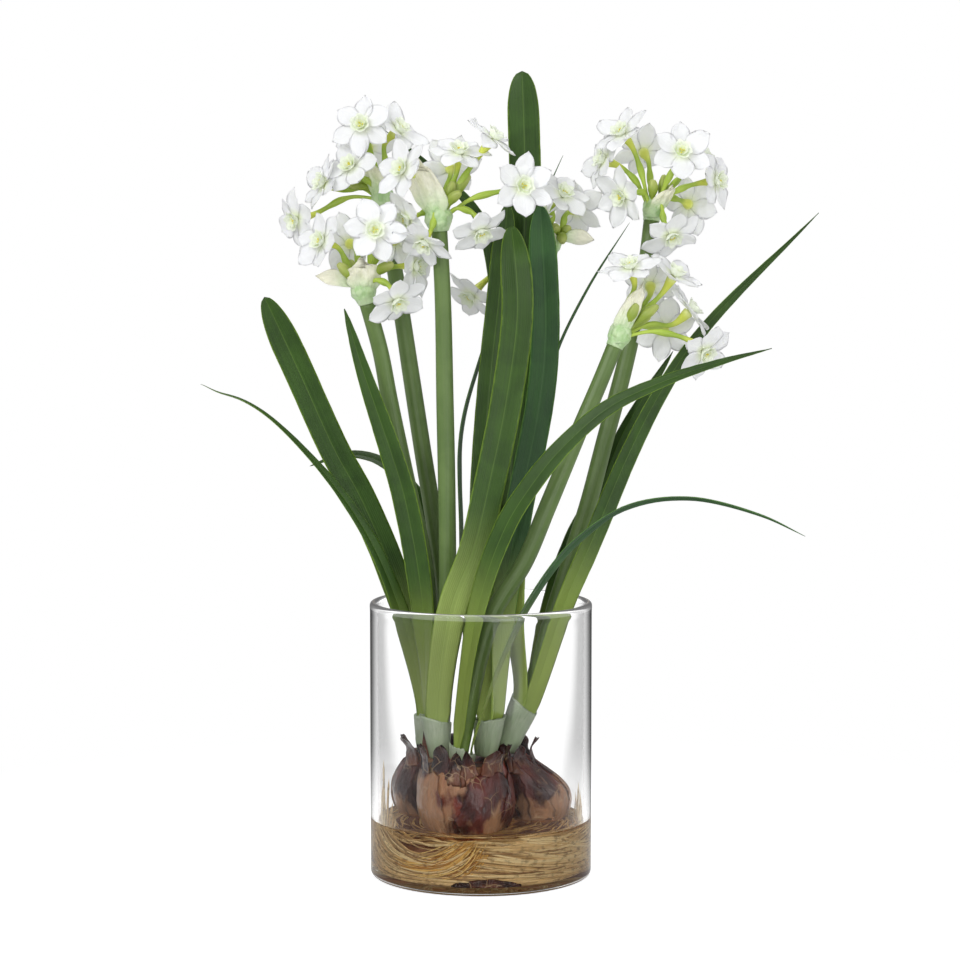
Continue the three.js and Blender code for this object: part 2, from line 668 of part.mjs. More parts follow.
function makeScape(stem) {
  const rings = [];
  const curve = stemCurve(stem);
  for (let i = 0; i <= SCAPE_STATIONS; i++) {
    const t = i / SCAPE_STATIONS;
    const grown = THREE.MathUtils.lerp(SCAPE_FOOT_RADIUS, SCAPE_RADIUS, smooth(0, 0.14, t));
    const radius = THREE.MathUtils.lerp(grown, SCAPE_TOP_RADIUS, smooth(0.6, 1, t));
    rings.push(ring(curve.getPointAt(t), curve.getTangentAt(t), radius, SCAPE_SIDES));
  }
  return facingOut(loft(rings));
}

// The outline of a floret's six tepals, of which every other one curls further forward.
// Each corner is its angle from the middle of its tepal, its distance as a share of the length, and its bend.
const TEPAL_CORNERS = [
  [-30, 0.42, 0],
  [-13, 0.94, 0.9],
  [13, 0.94, 0.9],
];
const TEPAL_CURL = [-0.6, 2.2];

function tepalOutline(centre, face, lift) {
  const [right, up90] = ring(vec(0, 0, 0), face, 1, 4);
  const points = [];
  for (let k = 0; k < 6; k++) {
    for (const [offset, share, bend] of TEPAL_CORNERS) {
      const angle = radians(60 * k + offset + 30);
      const rise = lift + bend * TEPAL_CURL[k % 2];
      points.push(
        centre
          .clone()
          .addScaledVector(right, TEPAL_LENGTH * share * Math.cos(angle))
          .addScaledVector(up90, TEPAL_LENGTH * share * Math.sin(angle))
          .addScaledVector(face, rise),
      );
    }
  }
  return points;
}

// Where a stalk leaves the top of its stem, and the point that it bows over on the way to its flower.
function stalkRoot(hub, axis, end) {
  const outward = end.clone().sub(hub).projectOnPlane(axis).normalize();
  const start = hub.clone().addScaledVector(axis, 3.5).addScaledVector(outward, 2.4);
  const bow = hub.clone().addScaledVector(axis, 11).addScaledVector(outward, 4).lerp(end, 0.4);
  return { start, bow };
}

// A flower with its stalk, in one skin: stalk, ovary, tube, tepals and the little cup in the middle.
function makeFloret(hub, axis, { at, face }) {
  const look = vec(...face).normalize();
  const centre = hub.clone().add(vec(...at));
  const over = (height) => centre.clone().addScaledVector(look, height);
  const tubeStart = over(-TUBE_LENGTH);
  const { start, bow } = stalkRoot(hub, axis, tubeStart);
  const curve = new THREE.CatmullRomCurve3([start, bow, tubeStart, over(-1.4)]);
  const stalk = [
    [0, PEDICEL_RADIUS],
    [0.3, PEDICEL_RADIUS],
    [0.6, TUBE_RADII.ovary],
    [0.72, TUBE_RADII.waist],
    [1, TUBE_RADII.mouth],
  ].map(([t, radius]) => ring(curve.getPointAt(t), curve.getTangentAt(t), radius, STALK_SIDES));
  return loft([
    ...stalk,
    tepalOutline(centre, look, -TEPAL_THICKNESS),
    tepalOutline(centre, look, 0),
    ring(over(0.4), look, 0.7 * CORONA_RADIUS, CORONA_SIDES),
    ring(over(CORONA_HEIGHT), look, CORONA_RADIUS, CORONA_SIDES),
    ring(over(CORONA_HEIGHT), look, CORONA_RADIUS - CORONA_WALL, CORONA_SIDES),
    [over(1.2)],
  ]);
}

function makeBud(hub, axis, tip) {
  const end = hub.clone().add(vec(...tip));
  const { start, bow } = stalkRoot(hub, axis, end);
  return rod([start, bow, end], [PEDICEL_RADIUS, PEDICEL_RADIUS, BUD_RADIUS, 0.5], CORONA_SIDES);
}

function makeSpathe(hub, axis, { toward, height, width }) {
  const rows = [0, 0.3, 0.65, 1].map((t) => {
    const swell = Math.sin(Math.PI * (0.05 + 0.75 * t)) ** 2;
    const radius = THREE.MathUtils.lerp(SPATHE_GIRTH, 0.5 * width, swell);
    const open = radians(95 * (1 - 0.72 * t));
    const centre = hub.clone().addScaledVector(axis, 1.5 + t * height);
    return [-1, -0.5, 0, 0.5, 1].map((side) => {
      const angle = radians(toward) + side * open;
      return centre.clone().add(vec(radius * Math.cos(angle), radius * Math.sin(angle), 0));
    });
  });
  return sheet(rows, SPATHE_THICKNESS);
}

function makeHead(stem) {
  const curve = stemCurve(stem);
  const hub = curve.getPoint(1);
  const axis = curve.getTangentAt(1);
  const base = hub.clone().addScaledVector(axis, GAP);
  const crown = hub.clone().addScaledVector(axis, HUB_HEIGHT);
  return fuse([
    rod([base, crown], [SCAPE_TOP_RADIUS, 4.6, 2.6], SCAPE_SIDES),
    makeSpathe(hub, axis, stem.spathe),
    ...stem.florets.map((floret) => makeFloret(hub, axis, floret)),
    ...stem.buds.map((bud) => makeBud(hub, axis, bud)),
  ]);
}

// ----------------------------------------------------------------- assembly

addPiece('vase', makeVase(), MATERIALS.glass);
addPiece('water', makeWater(), MATERIALS.water);
for (const [name, bulb] of Object.entries(BULBS)) {
  addPiece(`bulb_${name}`, makeBulb(bulb), MATERIALS.bulb);
  addPiece(`roots_${name}`, makeRoots(ROOTS[name], bulb), MATERIALS.root);
}
for (const [name, shoot] of Object.entries(SHOOTS)) addSheath(name, shoot);
for (const [name, leaf] of Object.entries(LEAVES)) addPiece(`leaf_${name}`, makeLeaf(leaf), MATERIALS.leaf);
for (const [name, stem] of Object.entries(STEMS)) {
  addPiece(`scape_${name}`, makeScape(stem), MATERIALS.scape);
  addPiece(`head_${name}`, makeHead(stem), MATERIALS.head);
}

export default group;
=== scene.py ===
"""Dresses the frame of a paperwhite narcissus arrangement: bulbs, leaves and flower heads in a glass of water.

The tables hold sizes and places in millimetres, in the part's own frame: +Z up, -Y towards the viewer. Meshes are
laid out in millimetres too, and brought to metres as they are made into pieces.
"""

import bisect
import logging
import math
import random
from dataclasses import dataclass, field
from enum import Enum
from functools import lru_cache
from typing import Callable, Sequence

import bmesh
import bpy
from mathutils import Matrix, Vector, noise


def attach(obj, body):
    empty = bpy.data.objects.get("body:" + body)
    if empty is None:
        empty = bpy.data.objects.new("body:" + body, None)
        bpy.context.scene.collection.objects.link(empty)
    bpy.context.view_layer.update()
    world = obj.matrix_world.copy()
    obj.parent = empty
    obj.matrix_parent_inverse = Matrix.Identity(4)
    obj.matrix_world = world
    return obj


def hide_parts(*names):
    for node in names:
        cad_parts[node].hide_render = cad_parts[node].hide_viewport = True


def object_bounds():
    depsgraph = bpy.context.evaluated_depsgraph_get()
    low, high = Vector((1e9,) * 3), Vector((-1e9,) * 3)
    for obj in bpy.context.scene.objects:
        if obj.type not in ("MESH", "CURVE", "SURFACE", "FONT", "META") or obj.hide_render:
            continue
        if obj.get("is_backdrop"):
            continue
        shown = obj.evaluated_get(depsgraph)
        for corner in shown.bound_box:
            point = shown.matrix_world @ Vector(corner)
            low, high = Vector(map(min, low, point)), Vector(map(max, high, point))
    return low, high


LOG = logging.getLogger("narcissus")

MM = 0.001
TAU = 2 * math.pi
UP = Vector((0, 0, 1))
DEPTH = Vector((0, 1, 0))
GAP = 0.3
WELD = 1e-4
BODY = "root"
TURNS_FOLLOWED = 11.5  # a ray that has turned more often than this ends in LOST_GREY
LOST_GREY = 0.7
CUP_RADIUS = 5.4  # the size that CUP_PROFILE is drawn at
CUP_HEIGHT = 4.8
CUP_PROFILE = (
    (0, -0.6, 0), (2.2, -0.6, 0), (2.9, 0.3, 0.1), (3.6, 1.6, 0.4), (4.3, 3.0, 0.8), (5.1, 4.3, 1.3), (5.4, 4.8, 1.4),
    (5.15, 4.7, 1.4), (4.2, 3.3, 0.8), (3.3, 1.9, 0.4), (2.3, 0.9, 0.1), (1.1, 0.3, 0), (0, 0.1, 0),
)  # radius, height and how far the frill reaches, up the outside and down the inside

Place = Callable[[float, float], Vector]
SheetPlace = Callable[[float, float, float], Vector]
Paint = Callable[[float, float], tuple[float, float]]
Colour = tuple[float, float, float, float]
Socket = bpy.types.NodeSocket
Point = tuple[float, float, float]
Mesh = bmesh.types.BMesh
Finish = bpy.types.Material
Piece = bpy.types.Object


# ------------------------------------------------------------------------------------------------- arithmetic


def lerp(low: float, high: float, share: float) -> float:
    """Returns the value that lies the given share of the way from low to high."""
    return low + (high - low) * share


def inside(share: float) -> float:
    """Returns the share rounded off, and kept between 0 and 1."""
    return min(max(round(share, 6), 0.0), 1.0)


def smooth(low: float, high: float, value: float) -> float:
    """Returns 0 below low and 1 above high, with an even rise between them."""
    t = min(max((value - low) / (high - low), 0.0), 1.0)
    return t * t * (3 - 2 * t)


def polar(radius: float, degrees: float, height: float) -> Vector:
    """Returns the point at that distance and direction from the vase's axis."""
    angle = math.radians(degrees)
    return Vector((radius * math.cos(angle), radius * math.sin(angle), height))


def through(values: Sequence[float], share: float) -> float:
    """Reads a list of evenly spaced values as a smooth line.

    Args:
        values: the values, from the line's start to its end.
        share: how far along the line to read, from 0 to 1.

    Returns:
        The value there, on a Catmull-Rom line through the list.
    """
    place = min(max(share, 0.0), 1.0) * (len(values) - 1)
    k = min(int(place), len(values) - 2)
    t = place - k
    p1, p2 = values[k], values[k + 1]
    p0 = values[k - 1] if k else 2 * p1 - p2
    p3 = values[k + 2] if k + 2 < len(values) else 2 * p2 - p1
    bend = (2 * p0 - 5 * p1 + 4 * p2 - p3) * t + (3 * p1 - p0 - 3 * p2 + p3) * t * t
    return p1 + 0.5 * t * (p2 - p0 + bend)


def ripple(seed: float, *where: float) -> float:
    """Returns a smooth random value from about -1 to 1 that is the same on every run."""
    x, y, z = (*where, 0.0, 0.0)[:3]
    return noise.noise(Vector((x + 17.3 * seed, y - 9.1 * seed, z + 3.7 * seed)))


def ripple_round(seed: float, size: float, angle: float, *along: float) -> float:
    """Returns a ripple that closes on itself round an axis, finer for a larger size."""
    return ripple(seed, size * math.cos(angle), size * math.sin(angle), *along)


class Spline:
    """A centripetal Catmull-Rom curve that is read by the share of its length, with frames that don't twist."""

    STEPS = 160

    def __init__(self, points: Sequence[Vector | Point]) -> None:
        """Measures the curve through the points given."""
        self.points = [Vector(p) for p in points]
        self.samples = [self._raw(i / self.STEPS) for i in range(self.STEPS + 1)]
        self.lengths = [0.0]
        for a, b in zip(self.samples, self.samples[1:]):
            self.lengths.append(self.lengths[-1] + (b - a).length)
        self.sides = self._carry_sides()

    def _raw(self, t: float) -> Vector:
        """Returns the point at the curve's own parameter t, from 0 to 1."""
        pts = self.points
        place = min(t, 1.0) * (len(pts) - 1)
        k = min(int(place), len(pts) - 2)
        w = place - k
        p1, p2 = pts[k], pts[k + 1]
        p0 = pts[k - 1] if k else 2 * p1 - p2
        p3 = pts[k + 2] if k + 2 < len(pts) else 2 * p2 - p1
        d0, d1, d2 = (max((b - a).length, 1e-6) ** 0.5 for a, b in ((p0, p1), (p1, p2), (p2, p3)))
        t1 = ((p1 - p0) / d0 - (p2 - p0) / (d0 + d1) + (p2 - p1) / d1) * d1
        t2 = ((p2 - p1) / d1 - (p3 - p1) / (d1 + d2) + (p3 - p2) / d2) * d1
        return p1 + t1 * w + (3 * (p2 - p1) - 2 * t1 - t2) * w * w + (2 * (p1 - p2) + t1 + t2) * w**3

    def _carry_sides(self) -> list[Vector]:
        """Returns a sideways direction at each sample, passed along the curve without twist."""
        tangent = (self.samples[1] - self.samples[0]).normalized()
        side = DEPTH.cross(tangent) if abs(tangent.y) < 0.9 else Vector((1, 0, 0))
        sides = []
        for k in range(len(self.samples)):
            ahead = self.samples[min(k + 1, self.STEPS)] - self.samples[max(k - 1, 0)]
            tangent = ahead.normalized()
            side = (side - tangent * side.dot(tangent)).normalized()
            sides.append(side)
        return sides

    @property
    def length(self) -> float:
        """The curve's length."""
        return self.lengths[-1]

    def _find(self, share: float) -> tuple[int, float]:
        """Returns the sample before the given share of the length, and how far it lies to the next one."""
        target = min(max(share, 0.0), 1.0) * self.length
        k = min(max(bisect.bisect_right(self.lengths, target) - 1, 0), self.STEPS - 1)
        span = self.lengths[k + 1] - self.lengths[k]
        return k, (target - self.lengths[k]) / span if span else 0.0

    def point(self, share: float) -> Vector:
        """Returns the point at the given share of the length."""
        k, t = self._find(share)
        return self.samples[k].lerp(self.samples[k + 1], t)

    def tangent(self, share: float) -> Vector:
        """Returns the direction at the given share of the length."""
        step = 0.5 / self.STEPS
        low, high = max(share - step, 0.0), min(share + step, 1.0)
        return (self.point(high) - self.point(low)).normalized()

    def frame(self, share: float) -> tuple[Vector, Vector, Vector]:
        """Returns the point at that share of the length, and two directions square to the curve there."""
        k, t = self._find(share)
        tangent = self.tangent(share)
        side = self.sides[k].lerp(self.sides[k + 1], t)
        side = (side - tangent * side.dot(tangent)).normalized()
        return self.point(share), side, tangent.cross(side)


# ------------------------------------------------------------------------------------------- mesh operations


def lay_skin(bm: Mesh, around: int, along: int, place: Place, paint: Paint | None = None,
             material: int = 0) -> None:
    """Lays a grid over a surface, then closes its seam and its poles.

    Args:
        bm: the mesh that the skin is added to.
        around: the number of faces round the skin.
        along: the number of faces from its start to its end.
        place: gives the point for u, round the skin, and v, along it, both from 0 to 1.
        paint: gives the UV for u and v, or None for u and v themselves.
        material: the finish's place in the piece's list.
    """
    uv_layer = bm.loops.layers.uv.verify()
    made = bmesh.ops.create_grid(bm, x_segments=around, y_segments=along, size=0.5, calc_uvs=True)
    faces = {face for vert in made["verts"] for face in vert.link_faces}
    for face in faces:
        face.smooth = True
        face.material_index = material
        if paint:
            for loop in face.loops:
                loop[uv_layer].uv = paint(*(inside(c) for c in loop[uv_layer].uv))
    for vert in made["verts"]:
        vert.co = place(inside(vert.co.x + 0.5), inside(vert.co.y + 0.5))
    bmesh.ops.remove_doubles(bm, verts=made["verts"], dist=WELD)


def lay_sheet(bm: Mesh, across: int, along: int, place: SheetPlace, thickness: float,
              paint: Paint | None = None, material: int = 0) -> None:
    """Lays a thin closed sheet that is thickest in the middle and comes to a soft edge all round.

    Args:
        bm: the mesh that the sheet is added to.
        across: the number of faces from one edge to the other.
        along: the number of faces from its foot to its tip.
        place: gives the point for s, across, and t, along, both from 0 to 1, and the lift off the sheet's middle.
        thickness: the sheet's full thickness.
        paint: gives the UV for s and t, or None for s and t themselves.
        material: the finish's place in the piece's list.
    """

    def fold(u: float) -> float:
        """Returns how far across the sheet u lies, on either face."""
        return abs(1 - 2 * u)

    def skin(u: float, v: float) -> Vector:
        """Returns the point of the sheet's skin, its front for u up to one half and its back after that."""
        s = fold(u)
        body = (1 - (2 * s - 1) ** 4) ** 0.5 * min(1.0, (5 * v) ** 0.5, (5 * (1 - v)) ** 0.5)
        lift = 0.0 if u in (0.0, 0.5, 1.0) else 0.5 * thickness * body
        return place(s, v, lift if u < 0.5 else -lift)

    lay_skin(bm, 2 * across, along, skin, lambda u, v: paint(fold(u), v) if paint else (fold(u), v), material)


def tube(spline: Spline, radius: Callable[[float, float], float]) -> Place:
    """Gives the surface of a closed tube along a curve.

    Args:
        spline: the tube's centre line.
        radius: gives the radius for u, round the tube, and v, along it.

    Returns:
        The surface, which closes to a point at both of its ends.
    """
    frames = lru_cache(maxsize=None)(spline.frame)

    def place(u: float, v: float) -> Vector:
        """Returns the tube's point at u and v."""
        centre, side, other = frames(round(v, 6))
        if v in (0.0, 1.0):
            return centre.copy()
        r = radius(u, v)
        return centre + side * (r * math.cos(TAU * u)) + other * (r * math.sin(TAU * u))

    return place


def capped(share: float, ends: float = 0.02) -> float:
    """Returns how full a rod is along its length: 1, but rounded off close to its two ends."""
    near = min(share, 1 - share) / ends
    return 1.0 if near >= 1 else math.sqrt(max(0.0, 1 - (1 - near) ** 2))


def turn_profile(bm: Mesh, profile: Sequence[tuple[float, float]], steps: int) -> None:
    """Spins a profile of radius and height pairs, from axis to axis, into a closed solid."""
    verts = [bm.verts.new((radius, 0, height)) for radius, height in profile]
    edges = [bm.edges.new(pair) for pair in zip(verts, verts[1:])]
    bmesh.ops.spin(bm, geom=verts + edges, cent=(0, 0, 0), axis=UP, angle=TAU, steps=steps, use_merge=True)
    bmesh.ops.remove_doubles(bm, verts=bm.verts, dist=WELD)
    for face in bm.faces:
        face.smooth = True


def make_piece(name: str, bm: Mesh, finishes: Sequence[Finish],
               nodes: Sequence[str]) -> Piece:
    """Turns a finished mesh into a piece of the object that stands for some of the frame's nodes.

    Args:
        name: the piece's name.
        bm: its mesh, in millimetres, which is used up.
        finishes: its materials, in the order of the faces' numbers.
        nodes: the frame's nodes that it stands for.

    Returns:
        The new object.
    """
    bmesh.ops.recalc_face_normals(bm, faces=bm.faces)
    bmesh.ops.scale(bm, vec=(MM, MM, MM), verts=bm.verts)
    mesh = bpy.data.meshes.new(name)
    bm.to_mesh(mesh)
    bm.free()
    for finish in finishes:
        mesh.materials.append(finish)
    piece = bpy.data.objects.new(name, mesh)
    bpy.context.scene.collection.objects.link(piece)
    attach(piece, BODY)
    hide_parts(*nodes)
    LOG.info("%s: %d faces for %s", name, len(mesh.polygons), ", ".join(nodes))
    return piece


# ------------------------------------------------------------------------------------------------ node trees


def tone(code: str) -> Colour:
    """Returns the linear colour of a six-figure sRGB code."""
    parts = [int(code[k : k + 2], 16) / 255 for k in (0, 2, 4)]
    red, green, blue = (c / 12.92 if c <= 0.04045 else ((c + 0.055) / 1.055) ** 2.4 for c in parts)
    return (red, green, blue, 1.0)


class Tree:
    """A node tree, with short ways to add nodes and join them."""

    def __init__(self, tree: bpy.types.NodeTree) -> None:
        """Wraps a tree."""
        self.tree = tree

    def add(self, kind: str, **settings: object) -> bpy.types.Node:
        """Adds a node and sets its properties."""
        node = self.tree.nodes.new(kind)
        for key, value in settings.items():
            setattr(node, key, value)
        return node

    def feed(self, target: Socket, value: object) -> None:
        """Joins a socket to the target, or sets the target to a plain value."""
        if isinstance(value, Socket):
            self.tree.links.new(value, target)
        elif value is not None:
            target.default_value = value

    def maths(self, operation: str, *values: object) -> Socket:
        """Adds a Math node and returns its result."""
        node = self.add("ShaderNodeMath", operation=operation)
        for target, value in zip(node.inputs, values):
            self.feed(target, value)
        return node.outputs[0]

    def times(self, value: object, by: object) -> Socket:
        """Multiplies two numbers."""
        return self.maths("MULTIPLY", value, by)

    def times_plus(self, value: object, by: object, extra: object) -> Socket:
        """Multiplies two numbers and adds a third."""
        return self.maths("MULTIPLY_ADD", value, by, extra)

    def blend(self, share: object, low: object, high: object, mode: str = "MIX") -> Socket:
        """Mixes two colours."""
        node = self.add("ShaderNodeMix", data_type="RGBA", blend_type=mode, clamp_factor=True)
        for key, value in ((0, share), (6, low), (7, high)):
            self.feed(node.inputs[key], value)
        return node.outputs[2]

    def rise(self, value: object, low: object, high: object, start: float = 0.0, end: float = 1.0) -> Socket:
        """Maps a value smoothly from low and high to start and end."""
        node = self.add("ShaderNodeMapRange", interpolation_type="SMOOTHSTEP", clamp=True)
        for target, item in zip(node.inputs, (value, low, high, start, end)):
            self.feed(target, item)
        return node.outputs[0]

    def fall(self, value: object, low: object, high: object) -> Socket:
        """Maps a value smoothly from low and high to 1 and 0."""
        return self.maths("SUBTRACT", 1.0, self.rise(value, low, high))

    def cloud(self, vector: object, scale: object, detail: float = 3.0, distortion: float = 0.0) -> Socket:
        """Adds a noise texture and returns its value."""
        node = self.add("ShaderNodeTexNoise")
        for key, value in (("Vector", vector), ("Scale", scale), ("Detail", detail), ("Distortion", distortion)):
            self.feed(node.inputs[key], value)
        return node.outputs["Fac"]

    def stretch(self, vector: object, scale: Point) -> Socket:
        """Scales a vector differently along its three directions."""
        node = self.add("ShaderNodeMapping")
        self.feed(node.inputs["Vector"], vector)
        node.inputs["Scale"].default_value = scale
        return node.outputs[0]

    def vector(self, x: object, y: object, z: object = 0.0) -> Socket:
        """Joins three numbers into a vector."""
        node = self.add("ShaderNodeCombineXYZ")
        for target, value in zip(node.inputs, (x, y, z)):
            self.feed(target, value)
        return node.outputs[0]

    def relief(self, height: object, strength: float, distance: float, normal: object = None) -> Socket:
        """Turns a height into a bumped normal. The distance is in metres."""
        node = self.add("ShaderNodeBump")
        node.inputs["Strength"].default_value = strength
        node.inputs["Distance"].default_value = distance
        self.feed(node.inputs["Height"], height)
        self.feed(node.inputs["Normal"], normal)
        return node.outputs[0]

    def place_group(self, group: bpy.types.NodeTree, **values: object) -> bpy.types.Node:
        """Places a node group and feeds the inputs that are named, with _ for a space."""
        node = self.add("ShaderNodeGroup", node_tree=group)
        for key, value in values.items():
            self.feed(node.inputs[key.replace("_", " ")], value)
        return node


class Material(Tree):
    """A material with one Principled shader, and the sockets that its patterns start from."""

    def __init__(self, name: str) -> None:
        """Makes the material with an empty tree and its shader."""
        self.material = bpy.data.materials.new(name)
        self.material.use_nodes = True
        super().__init__(self.material.node_tree)
        self.tree.nodes.clear()
        self.shader = self.add("ShaderNodeBsdfPrincipled")
        self.output = self.add("ShaderNodeOutputMaterial")
        self.tree.links.new(self.shader.outputs[0], self.output.inputs["Surface"])
        coordinates = self.add("ShaderNodeTexCoord")
        self.where = coordinates.outputs["Object"]
        split = self.add("ShaderNodeSeparateXYZ")
        self.feed(split.inputs[0], coordinates.outputs["UV"])
        self.across, self.along = split.outputs[0], split.outputs[1]

    def dress(self, **values: object) -> None:
        """Feeds the shader's inputs that are named, with _ for a space."""
        for key, value in values.items():
            self.feed(self.shader.inputs[key.replace("_", " ")], value)

    def veined(self, count: float, waver: float) -> bpy.types.NodeOutputs:
        """Places the lengthwise veins and returns their outputs."""
        group = self.place_group(lengthwise_veins(), Across=self.across, Along=self.along, Count=count, Waver=waver)
        return group.outputs

    def mottled(self, scale: float, vector: object = None) -> bpy.types.NodeOutputs:
        """Places the soft blotches and returns their outputs."""
        return self.place_group(soft_mottle(), Vector=vector or self.where, Scale=scale, Balance=0.5).outputs

    def let_light_through(self, tint: Colour) -> None:
        """Lets shadow rays straight through, tinted, and ends in pale grey what has turned too often to follow."""
        clear = self.add("ShaderNodeBsdfTransparent")
        clear.inputs["Color"].default_value = tint
        path = self.add("ShaderNodeLightPath")
        mix = self.add("ShaderNodeMixShader")
        sources = (path.outputs["Is Shadow Ray"], self.shader.outputs[0], clear.outputs[0])
        for target, source in zip(mix.inputs, sources):
            self.feed(target, source)
        lost, ending = self.add("ShaderNodeEmission"), self.add("ShaderNodeMixShader")
        lost.inputs["Color"].default_value = (LOST_GREY, LOST_GREY, LOST_GREY, 1)
        often = self.maths("GREATER_THAN", path.outputs["Ray Depth"], TURNS_FOLLOWED)
        for target, source in zip(ending.inputs, (often, mix.outputs[0], lost.outputs[0])):
            self.feed(target, source)
        self.feed(self.output.inputs["Surface"], ending.outputs[0])


def new_group(name: str, inputs: Sequence[tuple[str, str, float]], outputs: Sequence[str]) -> tuple[Tree, dict, dict]:
    """Makes an empty shader node group.

    Args:
        name: the group's name.
        inputs: each input's name, its kind of socket without the common prefix, and its default.
        outputs: the names of its outputs, which are all numbers.

    Returns:
        The group as a Tree, its input sockets by name, and the sockets to feed its outputs, by name.
    """
    group = bpy.data.node_groups.new(name, "ShaderNodeTree")
    for label, kind, default in inputs:
        socket = group.interface.new_socket(label, in_out="INPUT", socket_type=f"NodeSocket{kind}")
        if kind == "Float":
            socket.default_value = default
    for label in outputs:
        group.interface.new_socket(label, in_out="OUTPUT", socket_type="NodeSocketFloat")
    tree = Tree(group)
    entry, leave = tree.add("NodeGroupInput"), tree.add("NodeGroupOutput")
    return tree, {s.name: s for s in entry.outputs}, {s.name: s for s in leave.inputs}


@lru_cache(maxsize=None)
def lengthwise_veins() -> bpy.types.NodeTree:
    """Returns the group that draws fine veins along a blade, from its UV."""
    inputs = (("Across", "Float", 0.5), ("Along", "Float", 0.0), ("Count", "Float", 24.0), ("Waver", "Float", 0.4))
    tree, given, wanted = new_group("Lengthwise veins", inputs, ("Veins", "Streaks"))
    where = tree.vector(tree.times(given["Across"], 6.0), tree.times(given["Along"], 3.0))
    drift = tree.times(tree.cloud(where, 1.0, 2.0), given["Waver"])
    phase = tree.times(tree.times_plus(given["Across"], given["Count"], drift), TAU)
    tree.feed(wanted["Veins"], tree.times_plus(tree.maths("SINE", phase), 0.5, 0.5))
    fine = tree.vector(tree.times(given["Across"], given["Count"]), tree.times(given["Along"], 4.0))
    tree.feed(wanted["Streaks"], tree.cloud(fine, 1.0, 4.0))
    return tree.tree


@lru_cache(maxsize=None)
def soft_mottle() -> bpy.types.NodeTree:
    """Returns the group that draws soft blotches, with finer ones inside them."""
    inputs = (("Vector", "Vector", 0.0), ("Scale", "Float", 60.0), ("Balance", "Float", 0.5))
    tree, given, wanted = new_group("Soft mottle", inputs, ("Blotches", "Specks"))
    broad = tree.cloud(given["Vector"], given["Scale"], 4.0, 0.6)
    low = tree.maths("SUBTRACT", given["Balance"], 0.14)
    high = tree.maths("ADD", given["Balance"], 0.14)
    tree.feed(wanted["Blotches"], tree.rise(broad, low, high))
    fine = tree.cloud(given["Vector"], tree.times(given["Scale"], 9.0), 2.0)
    tree.feed(wanted["Specks"], tree.rise(fine, 0.56, 0.7))
    return tree.tree


@lru_cache(maxsize=None)
def edge_highlight_band() -> bpy.types.NodeTree:
    """Returns the group that finds the strip along a blade's two edges, with a frayed inner side, for a painted
    highlight, and the line of its midrib.
    """
    inputs = (("Across", "Float", 0.5), ("Along", "Float", 0.0), ("Width", "Float", 0.08))
    tree, given, wanted = new_group("Edge highlight band", inputs, ("Band", "Middle"))
    off = tree.maths("ABSOLUTE", tree.maths("SUBTRACT", given["Across"], 0.5))
    room = tree.maths("SUBTRACT", 0.5, off)
    fray = tree.cloud(tree.vector(0.0, tree.times(given["Along"], 60.0), given["Across"]), 1.0, 3.0)
    ragged = tree.times(given["Width"], tree.times_plus(fray, 1.6, 0.2))
    tree.feed(wanted["Band"], tree.fall(room, 0.0, ragged))
    tree.feed(wanted["Middle"], tree.fall(off, 0.004, 0.03))
    return tree.tree


# -------------------------------------------------------------------------------------------------- finishes


@dataclass(frozen=True)
class LeafFinish:
    """A strap leaf: deep green, paler at its foot, with a light rib and fine veins, and light edges that are a painted
    highlight.
    """

    name: str
    deep: str = "1a300c"
    fresh: str = "395a18"
    foot: str = "b0c860"
    # edge is the colour of the painted highlight along the edges.
    edge: str = "86a83c"
    rib: str = "7fa148"
    foot_reach: float = 0.4

    def make(self) -> Finish:
        """Returns the material."""
        m = Material(self.name)
        veins = m.veined(16.0, 0.5)
        mottle = m.mottled(45.0)
        highlight_band = m.place_group(edge_highlight_band(), Across=m.across, Along=m.along, Width=0.06).outputs
        shade = m.times_plus(mottle["Blotches"], 0.3, m.times(veins["Streaks"], 0.75))
        body = m.blend(shade, tone(self.deep), tone(self.fresh))
        low = m.fall(m.along, 0.08, self.foot_reach)
        body = m.blend(low, body, tone(self.foot))
        body = m.blend(m.times(veins["Veins"], 0.12), body, tone(self.fresh))
        body = m.blend(m.times(highlight_band["Middle"], 0.18), body, tone(self.rib))
        # The light strip along both edges is a painted highlight.
        body = m.blend(m.times(highlight_band["Band"], 0.75), body, tone(self.edge))
        rough = m.times_plus(veins["Streaks"], 0.22, 0.32)
        ridges = m.maths("SUBTRACT", veins["Veins"], m.times(highlight_band["Middle"], 2.0))
        normal = m.relief(ridges, 0.22, 0.0003, m.relief(mottle["Specks"], 0.12, 0.0002))
        m.dress(Base_Color=body, Roughness=rough, Normal=normal, Specular_IOR_Level=0.3)
        return m.material


